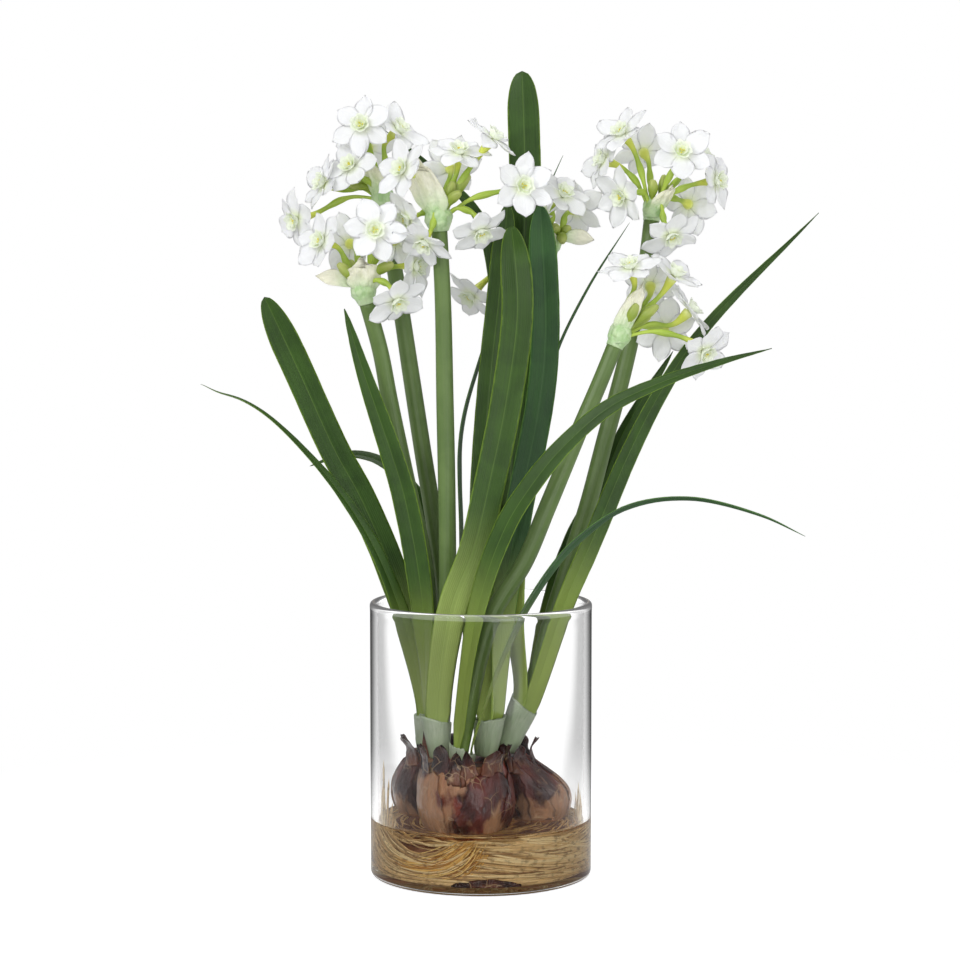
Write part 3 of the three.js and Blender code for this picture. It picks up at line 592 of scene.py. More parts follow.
@dataclass(frozen=True)
class TissueFinish:
    """Smooth plant skin that changes colour along its length, with fine veins, streaks and soft blotches.

    shades: where each colour starts to come in, where it has come in, and its code. The first one is the foot's.
    streak: the colour of its streaks, and streaks how strong they are. soft: how far light spreads in it. The
    last field sets a painted glow in its own colour, which stands in for the light from behind coming through it.
    """

    name: str
    shades: Sequence[tuple[float, float, str]]
    streak: str
    streaks: float = 0.5
    veins: float = 14.0
    waver: float = 0.4
    relief: float = 0.3
    rough: float = 0.32
    soft: float = 0.0
    grain: float = 60.0
    painted_glow: float = 0.0

    def make(self) -> Finish:
        """Returns the material."""
        m = Material(self.name)
        veins = m.veined(self.veins, self.waver)
        streaks, blotches = veins["Streaks"], m.mottled(self.grain)["Blotches"]
        body = tone(self.shades[0][2])
        for start, end, code in self.shades[1:]:
            body = m.blend(m.rise(m.along, start, end), body, tone(code))
        share = m.times_plus(blotches, 0.35 * self.streaks, m.times(streaks, self.streaks))
        body = m.blend(share, body, tone(self.streak))
        rough = m.times_plus(streaks, 0.22, self.rough)
        normal = m.relief(streaks, self.relief, 0.0003, m.relief(veins["Veins"], self.relief, 0.0002))
        m.dress(Base_Color=body, Roughness=rough, Normal=normal)
        m.dress(Subsurface_Weight=self.soft, Subsurface_Scale=0.002, Subsurface_Radius=(1.0, 1.0, 0.8))
        # A painted glow in the body's own colour, standing in for light that comes through from behind.
        m.dress(Emission_Color=body, Emission_Strength=self.painted_glow)
        return m.material


STEM_SKIN = TissueFinish("flower stem skin", ((0, 0, "8aa552"), (0.02, 0.3, "4a642c")), "6a8246", 0.7, 14, 0.2)
SHEATH_SKIN = TissueFinish("pale sheath", ((0, 0, "c4d6ae"), (0.1, 0.9, "eaf2dc")), "aec69a", 0.8,
                           60, 1.5, 0.6, 0.32, 0.1)
# The tepals, the cup and the tube get a small painted glow, their last argument.
TEPAL_SKIN = TissueFinish("white tepal", ((0, 0, "e0eab4"), (0, 0.36, "e9eaeb")), "e0e1e3", 0.6,
                          9, 0.8, 0.2, 0.45, 0.3, painted_glow=0.08)
CUP_SKIN = TissueFinish("flower cup", ((0, 0, "d6e496"), (0.08, 0.42, "e2edc4"), (0.36, 0.8, "eaf0e0")), "ebf4d4", 0.3,
                        18, 0.6, 0.3, 0.4, 0.3, painted_glow=0.03)
TUBE_SKIN = TissueFinish("flower tube", ((0, 0, "a6bf4b"), (0.3, 0.55, "93b03f"), (0.62, 0.8, "d0d75c"),
                                         (0.88, 1, "e6eaaa")), "b8c84e", 0.3, 6, 0.4, 0.3, 0.3, 0.2, painted_glow=0.05)
BUD_SKIN = TissueFinish("closed bud", ((0, 0, "93a53c"), (0.6, 1, "c3c878")), "7c9434", 0.6, 6, 0.3, 0.4, 0.3, 0.15)


@dataclass(frozen=True)
class SpatheFinish:
    """The papery bract under a head: thin cream paper, green and crumpled at its foot."""

    name: str = "papery spathe"
    cream: str = "f6f4e2"
    warm: str = "efecd2"
    foot: str = "b8da9f"

    def make(self) -> Finish:
        """Returns the material."""
        m = Material(self.name)
        veins = m.veined(26.0, 1.4)
        mottle = m.mottled(220.0)
        body = m.blend(veins["Streaks"], tone(self.warm), tone(self.cream))
        green = m.fall(m.along, 0.1, 0.75)
        body = m.blend(green, body, tone(self.foot))
        body = m.blend(m.times(mottle["Blotches"], 0.3), body, tone("f0f0dc"))
        creases = m.maths("ADD", mottle["Blotches"], m.times(veins["Streaks"], 0.6))
        solid = m.times_plus(mottle["Blotches"], 0.12, m.times_plus(veins["Streaks"], 0.2, 0.55))
        m.dress(Base_Color=body, Alpha=solid, Normal=m.relief(creases, 0.6, 0.0005))
        # A faint painted glow in its own colour, so that the thin paper looks as if light came through it.
        m.dress(Roughness=0.4, Emission_Color=body, Emission_Strength=0.06)
        m.dress(Subsurface_Weight=0.2, Subsurface_Scale=0.001, Subsurface_Radius=(1.0, 1.0, 0.8))
        return m.material


@dataclass(frozen=True)
class AntherFinish:
    """Powdery yellow pollen."""

    name: str = "anther"
    yellow: str = "dccf3e"

    def make(self) -> Finish:
        """Returns the material."""
        m = Material(self.name)
        grains = m.cloud(m.where, 2500.0, 2.0)
        m.dress(Base_Color=m.blend(grains, tone(self.yellow), tone("efe679")), Roughness=0.8)
        m.dress(Normal=m.relief(grains, 0.6, 0.0002))
        return m.material


@dataclass(frozen=True)
class TunicFinish:
    """A bulb's dry coat: lacquered red-brown, nearly black in its folds, worn through to tan, finely scratched.

    side tells how much more it is worn to the right of the place middle, and less to the left of it.
    """

    name: str
    dark: str = "3a130f"
    wine: str = "ac4832"
    tan: str = "f4b584"
    wear: float = 0.5
    side: float = 0.0
    middle: float = 0.0

    def make(self) -> Finish:
        """Returns the material."""
        m = Material(self.name)
        veins = m.veined(60.0, 3.0)
        mottle = m.mottled(75.0, m.stretch(m.where, (1.0, 1.0, 0.5)))
        low = m.times_plus(m.along, -0.3, m.cloud(m.stretch(m.where, (1.0, 1.0, 0.6)), 38.0, 5.0, 0.8))
        split = m.add("ShaderNodeSeparateXYZ")
        m.feed(split.inputs[0], m.where)
        low = m.times_plus(m.maths("SUBTRACT", split.outputs[0], self.middle), self.side, low)
        low = m.times_plus(veins["Streaks"], 0.2, m.maths("SUBTRACT", low, 0.1))
        worn = m.rise(low, self.wear - 0.14, self.wear)
        body = m.blend(mottle["Blotches"], tone(self.dark), tone(self.wine))
        body = m.blend(m.times(worn, 0.85), body, tone(self.tan))
        body = m.blend(m.times(veins["Streaks"], 0.7), body, tone(self.dark), "MULTIPLY")
        body = m.blend(m.times(self.scratches(m), 0.6), body, tone("dcb88e"))
        grime = m.cloud(m.where, 400.0, 3.0)
        rough = m.times_plus(grime, 0.35, 0.15)
        folds = m.times_plus(mottle["Blotches"], 0.7, veins["Streaks"])
        normal = m.relief(folds, 0.8, 0.0012, m.relief(grime, 0.3, 0.0004))
        m.dress(Base_Color=body, Roughness=rough, Specular_IOR_Level=0.2, Normal=normal)
        m.dress(Coat_Weight=0.5, Coat_Roughness=0.07, Coat_IOR=1.4, Coat_Normal=m.relief(folds, 0.5, 0.001))
        return m.material

    @staticmethod
    def scratches(m: Material) -> Socket:
        """Returns a mask of a few thin crooked lines."""
        cells = m.add("ShaderNodeTexVoronoi", feature="DISTANCE_TO_EDGE")
        bent = m.add("ShaderNodeVectorMath", operation="ADD")
        wander = m.add("ShaderNodeTexNoise")
        m.feed(wander.inputs["Vector"], m.where)
        wander.inputs["Scale"].default_value = 90.0
        scaled = m.add("ShaderNodeVectorMath", operation="SCALE")
        m.feed(scaled.inputs[0], wander.outputs["Color"])
        scaled.inputs["Scale"].default_value = 0.012
        m.feed(bent.inputs[0], m.where)
        m.feed(bent.inputs[1], scaled.outputs[0])
        m.feed(cells.inputs["Vector"], bent.outputs[0])
        cells.inputs["Scale"].default_value = 105.0
        line = m.fall(cells.outputs["Distance"], 0.0, 0.04)
        return m.times(line, m.rise(m.cloud(m.where, 60.0, 2.0), 0.48, 0.6))


@dataclass(frozen=True)
class RootFinish:
    """Straw-coloured root strands. U tells one strand's tone from the next; the last field sets a painted glow in their
    own colour, standing in for the light that the water brings.
    """

    name: str = "root strand"
    straw: str = "ccab78"
    brown: str = "643f20"
    pale: str = "e6d0a2"
    painted_root_glow: float = 0.13

    def make(self) -> Finish:
        """Returns the material."""
        m = Material(self.name)
        body = m.blend(m.rise(m.across, 0.0, 0.6), tone(self.brown), tone(self.straw))
        body = m.blend(m.rise(m.across, 0.55, 1.0), body, tone(self.pale))
        flecks = m.cloud(m.stretch(m.where, (1.0, 1.0, 1.6)), 260.0, 3.0)
        body = m.blend(m.rise(flecks, 0.5, 0.72, 0.0, 0.6), body, tone(self.brown))
        m.dress(Base_Color=body, Roughness=0.5, Normal=m.relief(flecks, 0.4, 0.0003))
        # A painted glow in the strands' own colour, standing in for the light that the water brings them.
        m.dress(Emission_Color=body, Emission_Strength=self.painted_root_glow)
        return m.material


class WallFace(Enum):
    """What lies against a face of the glass or the water, with the refractive index across it.

    The water is the clear cast kind, which bends light as the glass does, so where they meet nothing bends. Its top
    has a low index, so that the roots under it show from the side.
    """

    GLASS_AIR = 1.5
    WATER_AIR = 1.12
    MATCHED = 1.0


@dataclass(frozen=True)
class ClearFinish:
    """Clear glass or still water, with the index that its face meets. glow is a painted glow, which stands in for the
    light that a rim gathers.
    """

    name: str
    face: WallFace
    tint: str
    unevenness: float = 0.0
    glow: float = 0.0

    def make(self) -> Finish:
        """Returns the material."""
        m = Material(self.name)
        m.dress(Base_Color=tone(self.tint), Roughness=0.0, IOR=self.face.value, Transmission_Weight=1.0)
        # Emission here is painted light: a white glow of the strength given.
        m.dress(Specular_Tint=(0.25, 0.25, 0.25, 1), Emission_Color=(1, 1, 1, 1), Emission_Strength=self.glow)
        if self.unevenness:
            drift = m.cloud(m.stretch(m.where, (1.0, 1.0, 0.35)), 22.0, 1.0)
            m.dress(Normal=m.relief(drift, self.unevenness, 0.002))
        m.let_light_through(tone(self.tint))
        return m.material


@dataclass(frozen=True)
class Surroundings:
    """How bright the room is, by how a ray reached it.

    soaked is for light that falls on matt things. dim, beside and sky are for what shines back from a surface: from
    before or behind the arrangement, from either side of it and from high above. through is for what is seen straight
    through glass, and spoke for the darkest part of the upright bands that draw the edges of it. This is a way to
    light glass for a picture. No real room looks like it.
    """

    soaked: float = 0.5
    dim: float = 0.07
    beside: float = 0.84
    sky: float = 0.45
    through: float = 1.08
    spoke: float = 0.6

    def shine(self, tree: Tree, direction: object, soaked: object = None, mirrored: object = None) -> Socket:
        """Returns the room's colour in a direction, or that of the matt thing given, seen directly and mirrored."""
        split = tree.add("ShaderNodeSeparateXYZ")
        tree.feed(split.inputs[0], direction)
        around = tree.maths("ARCTAN2", split.outputs[1], split.outputs[0])
        wave = tree.rise(tree.maths("COSINE", tree.times(around, 8.0)), -0.85, -0.1)
        aside = tree.rise(tree.maths("ABSOLUTE", tree.maths("COSINE", around)), 0.3, 0.8)
        high = tree.rise(split.outputs[2], 0.2, 0.65)
        path = tree.add("ShaderNodeLightPath")
        gleam = tree.blend(aside, self.grey(self.dim), self.grey(self.beside))
        gleam = tree.blend(high, gleam, self.grey(self.sky))
        straight = tree.blend(tree.maths("MAXIMUM", wave, high), self.grey(self.spoke), self.grey(self.through))
        turned = tree.maths("GREATER_THAN", path.outputs["Glossy Depth"], 0.5)
        bent = tree.blend(turned, straight, gleam)
        colour = tree.blend(path.outputs["Is Glossy Ray"], soaked or self.grey(self.soaked), mirrored or gleam)
        colour = tree.blend(path.outputs["Is Transmission Ray"], colour, soaked or bent)
        return tree.blend(path.outputs["Is Camera Ray"], colour, soaked or self.grey(1.0))

    @staticmethod
    def grey(value: float) -> Colour:
        """Returns a grey."""
        return (value, value, value, 1.0)


@dataclass(frozen=True)
class FloorFinish:
    """A matt pale sweep of paper, that glows evenly further out so that no horizon shows."""

    name: str = "pale floor"
    near: float = 0.12
    far: float = 0.45

    def make(self) -> Finish:
        """Returns the material."""
        m = Material(self.name)
        length = m.add("ShaderNodeVectorMath", operation="LENGTH")
        m.feed(length.inputs[0], m.where)
        out = m.rise(length.outputs["Value"], self.near, self.far)
        fibres = m.times(m.cloud(m.where, 300.0, 3.0), 0.04)
        paper = m.blend(fibres, tone("e4e4e4"), tone("d6d6d6"))
        glow = Surroundings().shine(m, m.where)
        paper = Surroundings().shine(m, m.where, paper, (0.06, 0.06, 0.06, 1))
        m.dress(Base_Color=m.blend(out, paper, (0, 0, 0, 1)), Roughness=0.9, Specular_IOR_Level=0.0)
        m.dress(Emission_Color=m.blend(out, m.blend(0.35, glow, (0, 0, 0, 1)), glow), Emission_Strength=1.0)
        return m.material


# ----------------------------------------------------------------------------------------------- vase, water


@dataclass
class Vase:
    """A plain glass cylinder with a fire-polished rim, and the water in it."""

    radius: float = 62.5
    height: float = 155.0
    wall: float = 4.0
    base: float = 4.0
    foot: float = 2.5
    cove: float = 2.5
    bead: float = 0.15
    water_level: float = 31.5
    meniscus: float = 1.1
    film: float = 0.06
    steps: int = 144

    @property
    def bore(self) -> float:
        """The inner wall's radius."""
        return self.radius - self.wall

    @staticmethod
    def arc(centre: tuple[float, float], radii: tuple[float, float], start: float, end: float,
            count: int) -> list[tuple[float, float]]:
        """Returns points on an arc of an ellipse, between two angles in degrees."""
        angles = [math.radians(lerp(start, end, k / count)) for k in range(count + 1)]
        return [(centre[0] + radii[0] * math.cos(a), centre[1] + radii[1] * math.sin(a)) for a in angles]

    def build_glass(self) -> Piece:
        """Returns the glass, whose wetted faces have an index of their own."""
        lip = (self.radius + self.bead - self.bore) / 2
        rim = (self.bore + lip, self.height - lip)
        shoulder = [
            (self.radius + self.bead * smooth(0, 1, k / 5), lerp(self.height - 6, rim[1], k / 6)) for k in range(6)
        ]
        wet_top = self.water_level + self.meniscus
        wet_wall = [(self.bore, lerp(wet_top, self.base + self.cove, k / 6)) for k in range(1, 6)]
        profile = [
            (0, 0),
            (self.radius - self.foot - 8, 0),
            *self.arc((self.radius - self.foot, self.foot), (self.foot, self.foot), -90, 0, 8),
            *[(self.radius, lerp(self.foot, self.height - 7, k / 12)) for k in range(1, 13)],
            *shoulder,
            *self.arc(rim, (lip, lip), 0, 180, 18),
            *[(self.bore, lerp(self.height - lip, wet_top, k / 12)) for k in range(1, 13)],
            *wet_wall,
            *self.arc((self.bore - self.cove, self.base + self.cove), (self.cove, self.cove), 0, -90, 8),
            (self.bore / 2, self.base),
            (0, self.base),
        ]
        bm = bmesh.new()
        turn_profile(bm, profile, self.steps)
        for face in bm.faces:
            middle = face.calc_center_median()
            within = math.hypot(middle.x, middle.y) < self.bore + 0.01 and middle.z > self.base - 0.01
            face.material_index = 2 if middle.z > self.height - 1.7 * lip else int(within and middle.z < wet_top)
        finishes = (
            ClearFinish("clear glass", WallFace.GLASS_AIR, "fefefe", 0.05).make(),
            ClearFinish("wetted glass", WallFace.MATCHED, "fffffe").make(),
            # The rim faces get a painted white glow.
            ClearFinish("glass rim with painted glow", WallFace.GLASS_AIR, "fefefe", 0.0, 0.14).make(),
        )
        return make_piece("glass_cylinder", bm, finishes, ["vase"])

    def build_water(self) -> Piece:
        """Returns the water, which fills the foot of the glass and climbs a little where it meets the wall."""
        edge = self.bore - self.film
        floor = self.base + self.film
        climb = [(edge - 4 + 4 * k / 8, self.water_level + self.meniscus * (k / 8) ** 3) for k in range(9)]
        profile = [
            (0, floor),
            (edge / 2, floor),
            *self.arc((edge - self.cove, floor + self.cove), (self.cove, self.cove), -90, 0, 8),
            *reversed(climb),
            (edge * 0.6, self.water_level),
            (0, self.water_level),
        ]
        bm = bmesh.new()
        turn_profile(bm, profile, self.steps)
        for face in bm.faces:
            face.material_index = 0 if face.calc_center_median().z > self.water_level - 0.01 else 1
        finishes = (
            ClearFinish("water surface", WallFace.WATER_AIR, "f3e2c4").make(),
            ClearFinish("water against glass", WallFace.MATCHED, "fffcf4").make(),
        )
        return make_piece("still_water", bm, finishes, ["water"])


# ----------------------------------------------------------------------------------------------------- bulbs


@dataclass(frozen=True)
class Scrap:
    """A torn end of a bulb's coat.

    toward is its direction from the bulb's axis in degrees, sunk how far below the crown it is rooted, point how
    sharp its tip is, from 0 to 1, and flare how far the tip leans out.
    """

    toward: float
    width: float = 11.0
    height: float = 12.0
    sunk: float = 8.0
    flare: float = 4.0
    point: float = 0.6
    twist: float = 0.0


@dataclass
class Bulb:
    """A bulb in its papery coat: its body, the peeling plates on it and the torn scraps round its neck."""

    name: str
    foot: Vector
    crown: Vector
    radius: float
    shares: Sequence[float]
    scraps: Sequence[Scrap]
    seed: int
    ribs: int = 5
    plates: int = 5
    painted_reflection_arc: tuple[float, float] | None = None
    worn: float = 0.0
    axis: Spline = field(init=False)

    def __post_init__(self) -> None:
        """Draws the bulb's own axis."""
        middle = self.foot.lerp(self.crown, 0.12)
        middle.z = lerp(self.foot.z, self.crown.z, 0.55)
        self.axis = Spline([self.foot, middle, self.crown])

    def surface(self, turn: float, rise: float, lift: float = 0.0) -> Vector:
        """Returns a point of the bulb's side.

        Args:
            turn: the direction from the axis, in radians.
            rise: how far up the bulb, from 0 at its foot to 1 at its crown.
            lift: how far it stands out of the body.
        """
        centre = self.axis.point(rise)
        ribs = 0.022 * math.sin(self.ribs * turn + 3 * rise) * math.sin(math.pi * min(rise * 1.1, 1))
        lumps = 0.03 * ripple_round(self.seed, 1.3, turn, 2.2 * rise)
        creases = 0.008 * ripple_round(self.seed + 5, 7, turn, 2.5 * rise)
        radius = self.radius * through(self.shares, rise) * (1 + ribs + lumps + creases) + lift
        return centre + Vector((radius * math.cos(turn), radius * math.sin(turn), 0))

    def lay_body(self, bm: Mesh) -> None:
        """Adds the body, closed under its foot and over its crown."""
        cap = 0.08

        def place(u: float, v: float) -> Vector:
            """Returns the body's point at u and v."""
            rise = min(max((v - cap) / (1 - 2 * cap), 0.0), 1.0)
            point = self.surface(TAU * u, rise)
            if v < cap:
                return self.foot.lerp(point, v / cap) - UP * 1.5 * (1 - v / cap)
            if v > 1 - cap:
                inward = (1 - v) / cap
                return self.crown.lerp(point, inward) - UP * 2.5 * (1 - inward)
            return point

        lay_skin(bm, 64, 48, place)

    def lay_plate(self, bm: Mesh, rng: random.Random, middle: float) -> None:
        """Adds one overlapping plate of the coat, with a torn edge that lifts off the body."""
        half = math.radians(rng.uniform(34, 62))
        bottom, top = rng.uniform(0.08, 0.3), rng.uniform(0.86, 0.99)
        seed = rng.uniform(0, 90)
        stand = rng.uniform(0.35, 0.8)

        def place(s: float, t: float, lift: float) -> Vector:
            """Returns the plate's point at s and t."""
            side = 2 * s - 1
            torn = 0.16 * ripple(seed, 5 * t) + 0.1 * ripple(seed + 3, 17 * t)
            turn = middle + side * half * (1 + torn) * lerp(1.0, 0.62, t)
            ragged = 0.07 * ripple(seed + 7, 6 * s) + 0.03 * ripple(seed + 9, 21 * s)
            rise = lerp(bottom + ragged, min(top + 0.6 * ragged, 1.0), t)
            edge = max(abs(side) ** 6, (1 - t) ** 9)
            return self.surface(turn, min(max(rise, 0.02), 1.0), stand + 1.1 * edge + lift)

        lay_sheet(bm, 16, 26, place, 0.45, lambda s, t: (0.2 + 0.15 * s, t), 1)

    def lay_scrap(self, bm: Mesh, rng: random.Random, scrap: Scrap) -> None:
        """Adds one torn scrap, rooted in the shoulder and curling over at its tip."""
        neck = self.radius * self.shares[-1]
        start = self.crown.z - scrap.sunk
        seed = rng.uniform(0, 90)

        def place(s: float, t: float, lift: float) -> Vector:
            """Returns the scrap's point at s and t."""
            side = 2 * s - 1
            taper = 1 - scrap.point * t**1.6
            blunt = math.sqrt(max(0.0, 1 - max(0.0, (t - 0.7) / 0.3) ** 2.2))
            width = scrap.width * taper * max(blunt, 0.02) * (1 + 0.18 * ripple(seed, 5 * t, side))
            turn = math.radians(scrap.toward) + 0.5 * side * width / neck + math.radians(scrap.twist) * t
            height = (scrap.sunk + scrap.height) * t * (1 + 0.06 * ripple(seed, 4 * s))
            shoulder = self.surface(turn, lerp(0.84, 1.0, min(1.0, t * 1.6)))
            base_radius = math.hypot(shoulder.x - self.crown.x, shoulder.y - self.crown.y)
            curl = scrap.flare * t * t - 2.2 * (1 - side * side) * t
            crumple = 0.5 * ripple(seed + 4, 6 * t, 3 * s)
            reach = base_radius + 0.5 + curl + crumple + lift
            x, y = self.crown.x + reach * math.cos(turn), self.crown.y + reach * math.sin(turn)
            return Vector((x, y, start + height))

        lay_sheet(bm, 10, 18, place, 0.55, lambda s, t: (0.6 + 0.1 * s, t), 2)

    def lay_painted_reflection(self, bm: Mesh) -> None:
        """Adds a dark sheet in the torn coat's finish by the wall of the glass, under the roots, that paints the
        reflection of the bulb's underside in the thick base.
        """

        def place(s: float, t: float, lift: float) -> Vector:
            """Returns the sheet's point at s and t."""
            side = 2 * s - 1
            high = 4.4 + (1.2 + 3.4 * (1 - side * side)) * t + 0.5 * ripple(self.seed, 6 * s) * t
            reach = 58.1 - 0.5 * t + 0.3 * ripple(self.seed + 2, 8 * s, 2 * t) + lift
            return polar(reach, lerp(*self.painted_reflection_arc, s), high)

        lay_sheet(bm, 24, 8, place, 0.4, lambda s, t: (0.3 * s, t), 2)

    def build(self) -> Piece:
        """Returns the bulb."""
        rng = random.Random(self.seed)
        bm = bmesh.new()
        self.lay_body(bm)
        for k in range(self.plates):
            self.lay_plate(bm, rng, TAU * (k + rng.uniform(-0.2, 0.2)) / self.plates)
        for scrap in self.scraps:
            self.lay_scrap(bm, rng, scrap)
        # A painted reflection: a dark sheet by the front of the base.
        if self.painted_reflection_arc:
            self.lay_painted_reflection(bm)
        middle = self.foot.x * MM
        finishes = (
            TunicFinish(f"inner coat {self.name}", wear=0.4, side=self.worn, middle=middle).make(),
            TunicFinish(f"outer coat {self.name}", wine="82362b", wear=0.45, side=self.worn, middle=middle).make(),
            TunicFinish(f"torn coat {self.name}", "200808", "58261f", "9a5c3e", 0.52).make(),
        )
        return make_piece(f"tunic_{self.name}", bm, finishes, [f"bulb_{self.name}"])


BULBS = (
    Bulb("left", Vector((-36, 22, 22)), Vector((-29, 14, 68)), 16.5, (0.34, 0.68, 0.92, 1, 0.94, 0.8, 0.66), (
        Scrap(262, 6, 22, 4, 1, 0.75), Scrap(215, 10, 9, 8, 9, 0.5), Scrap(165, 9, 8, 8, 7, 0.6), Scrap(100, 10, 10),
        Scrap(300, 9, 9, 9, 3, 0.5), Scrap(30, 9, 8, 8, 4, 0.5),
    ), 11),
    # The centre bulb also carries a painted reflection, a dark sheet by the front of the glass's base.
    Bulb("centre", Vector((-8, -22, 17)), Vector((-9, -20, 68)), 26, (0.34, 0.68, 0.9, 1, 0.99, 0.94, 0.84), (
        Scrap(-128, 13, 12, 14, 2, 0.35, 6), Scrap(-100, 9, 9, 10, 3, 0.6), Scrap(-80, 11, 10, 11, 4, 0.8, -8),
        Scrap(-48, 15, 9, 10, 6, 0.15), Scrap(5, 12, 9, 9, 4, 0.5), Scrap(60, 11, 8, 9, 4, 0.5),
        Scrap(110, 12, 11, 9, 4, 0.6), Scrap(165, 12, 8, 9, 5, 0.5), Scrap(-155, 10, 10, 9, 4, 0.5),
    ), 23, painted_reflection_arc=(-106, -68), worn=-8),
    Bulb("right", Vector((33, 10, 18)), Vector((16, 5, 67)), 20, (0.34, 0.68, 0.92, 1, 0.92, 0.72, 0.5), (
        Scrap(-60, 9, 7, 9, 4, 0.5), Scrap(-5, 8, 10, 10, 7, 0.2), Scrap(50, 10, 9, 8, 5, 0.6), Scrap(110, 9, 8, 8, 4),
        Scrap(-105, 8, 8, 8, 3, 0.5), Scrap(170, 8, 7, 8, 3, 0.6),
    ), 37, plates=6, worn=8),
)


# ----------------------------------------------------------------------------------------------------- roots


@dataclass(frozen=True)
class Sweep:
    """A family of strands that run along the glass.

    outer and inner are the family's two outermost strands, as pairs of a direction in degrees and a height. The
    others lie between them. finish is 0 for plain strands and 1 for the fine yellow tuft.
    """

    outer: Sequence[tuple[float, float]]
    inner: Sequence[tuple[float, float]]
    count: int
    depth: float = 5.0
    shade: tuple[float, float] = (0.15, 1.0)
    finish: int = 0


@dataclass
class RootBall:
    """One bulb's roots: a pad under it, strands swept round the glass, and a few that climb out of the water."""

    name: str
    foot: Vector
    pad: float
    sweeps: Sequence[Sweep]
    risers: Sequence[tuple[float, float, float]]
    mat: tuple[float, float, int]
    seed: int
    bore: float = 58.5
    floor: float = 4.9
    surface: float = 30.7
    deepen: float = 1.3
    strand: float = 0.58

    def lay_strand(self, bm: Mesh, route: Sequence[Vector], thick: float, shade: float,
                   finish: int = 0) -> None:
        """Adds one strand that thins towards its ends."""
        spline = Spline(route)
        place = tube(spline, lambda u, v: thick * capped(v, 0.04) * lerp(1.0, 0.75, v))
        lay_skin(bm, 5, max(6, int(spline.length / 5)), place, lambda u, v: (shade, v), finish)

    def lay_pad(self, bm: Mesh) -> None:
        """Adds the knotted pad that the strands leave from, under the bulb, in the bed's dark finish, which paints the
        shade there.
        """
        low, high = Vector((*self.foot.xy, self.floor + 0.5)), self.foot + UP * 3

        def radius(u: float, v: float) -> float:
            """Returns the pad's radius, lumpy like knotted roots."""
            angle = TAU * u
            lumps = 0.12 * ripple_round(self.seed, 2, angle, 3 * v) + 0.1 * ripple_round(self.seed, 7, angle, 9 * v)
            return self.pad * through((0.75, 1.0, 0.95, 0.8, 0.5), v) * (1 + lumps) * capped(v, 0.15)

        lay_skin(bm, 48, 16, tube(Spline([low, low.lerp(high, 0.5), high]), radius), lambda u, v: (0.4, v), 2)

    def lay_bed_and_shade(self, bm: Mesh) -> None:
        """Adds two dark torn sheets, one inside the strands and one on the floor, that stand for the deeper tangle and
        paint the shade that shows between the strands.
        """

        def place(s: float, t: float, lift: float) -> Vector:
            """Returns the bed's point at s and t."""
            degrees = lerp(self.mat[0] - 4, self.mat[1] + 4, s)
            lumps = ripple(self.seed, 11 * s, 2 * t) + 0.5 * ripple(self.seed + 4, 40 * s, 5 * t)
            top = 25 + 2.5 * ripple(self.seed + 2, 14 * s) + ripple(self.seed + 6, 60 * s)
            return polar(self.bore - 8.5 + 1.4 * lumps + lift, degrees, lerp(self.floor, top, t))

        def floor(s: float, t: float, lift: float) -> Vector:
            """Returns the point at s and t of the part on the floor."""
            degrees = lerp(self.mat[0] - 4, self.mat[1] + 4, s)
            lumps = 1.5 * ripple(self.seed, 9 * s, 4 * t) + 0.8 * ripple(self.seed + 4, 30 * s, 12 * t)
            return polar(lerp(0.5, self.bore - 6, t), degrees, self.floor + 3 + lumps + lift)

        lay_sheet(bm, 72, 12, place, 0.6, lambda s, t: (0.5, t), 2)
        lay_sheet(bm, 48, 24, floor, 0.6, lambda s, t: (0.8, t), 2)

    def lay_sweep(self, bm: Mesh, rng: random.Random, sweep: Sweep) -> None:
        """Adds a family of strands."""
        for k in range(sweep.count):
            share = (k + rng.random()) / sweep.count
            lane = self.bore - 0.9 - sweep.depth * rng.random() ** 1.7
            drift, tilt = rng.gauss(0, 2.8), rng.gauss(0, 1.2)
            route = []
            for (angle, height), (inner_angle, inner_height) in zip(sweep.outer, sweep.inner):
                level = lerp(height, inner_height, share) + tilt + rng.uniform(-0.6, 0.6)
                level = self.surface - self.deepen * (self.surface - level)
                level = min(max(level, self.floor + rng.random()), self.surface)
                where = lerp(angle, inner_angle, share) + drift
                route.append(polar(lane - rng.uniform(0, 0.5), where, level))
            shade = lerp(*sweep.shade, rng.random())
            thick = self.strand * rng.uniform(0.65, 1.15) * (0.6 if sweep.finish else 1)
            self.lay_strand(bm, route, thick, shade, sweep.finish)

    def lay_risers(self, bm: Mesh, rng: random.Random) -> None:
        """Adds the strands that stick out of the water by the wall, each with finer hairs beside it."""
        for degrees, tip, lean in self.risers:
            for hair in range(6):
                where = degrees + (rng.uniform(-7, 7) if hair else 0)
                top = tip if hair == 0 else lerp(34, tip, rng.uniform(0.1, 0.75))
                radius = self.bore - rng.uniform(1.6, 3.4)
                route = [
                    polar(radius - 8, where, 16), polar(radius - 1, where + 1, 24),
                    polar(radius, where + 0.3 * lean, lerp(24, top, 0.5)), polar(radius, where + lean, top),
                ]
                self.lay_strand(bm, route, 0.7 if hair == 0 else 0.42, rng.uniform(0.4, 1))

    def lay_mat(self, bm: Mesh, rng: random.Random) -> None:
        """Adds the mats of strands on the floor of the glass and under the surface, on this bulb's side."""
        start, end, count = self.mat
        for k in range(count):
            middle = rng.uniform(start, end)
            level = self.floor if k % 2 else self.surface - 5
            reach, swing = self.bore - 2 - 50 * rng.random() ** 1.6, rng.uniform(8, 30)
            points = []
            for t in (-1, -0.3, 0.3, 1):
                bend = rng.uniform(-1.5, 1.5)
                points.append(polar(reach + bend, middle + t * swing, level + rng.uniform(-0.3, 3)))
            self.lay_strand(bm, points, self.strand, rng.uniform(0.25, 0.9))

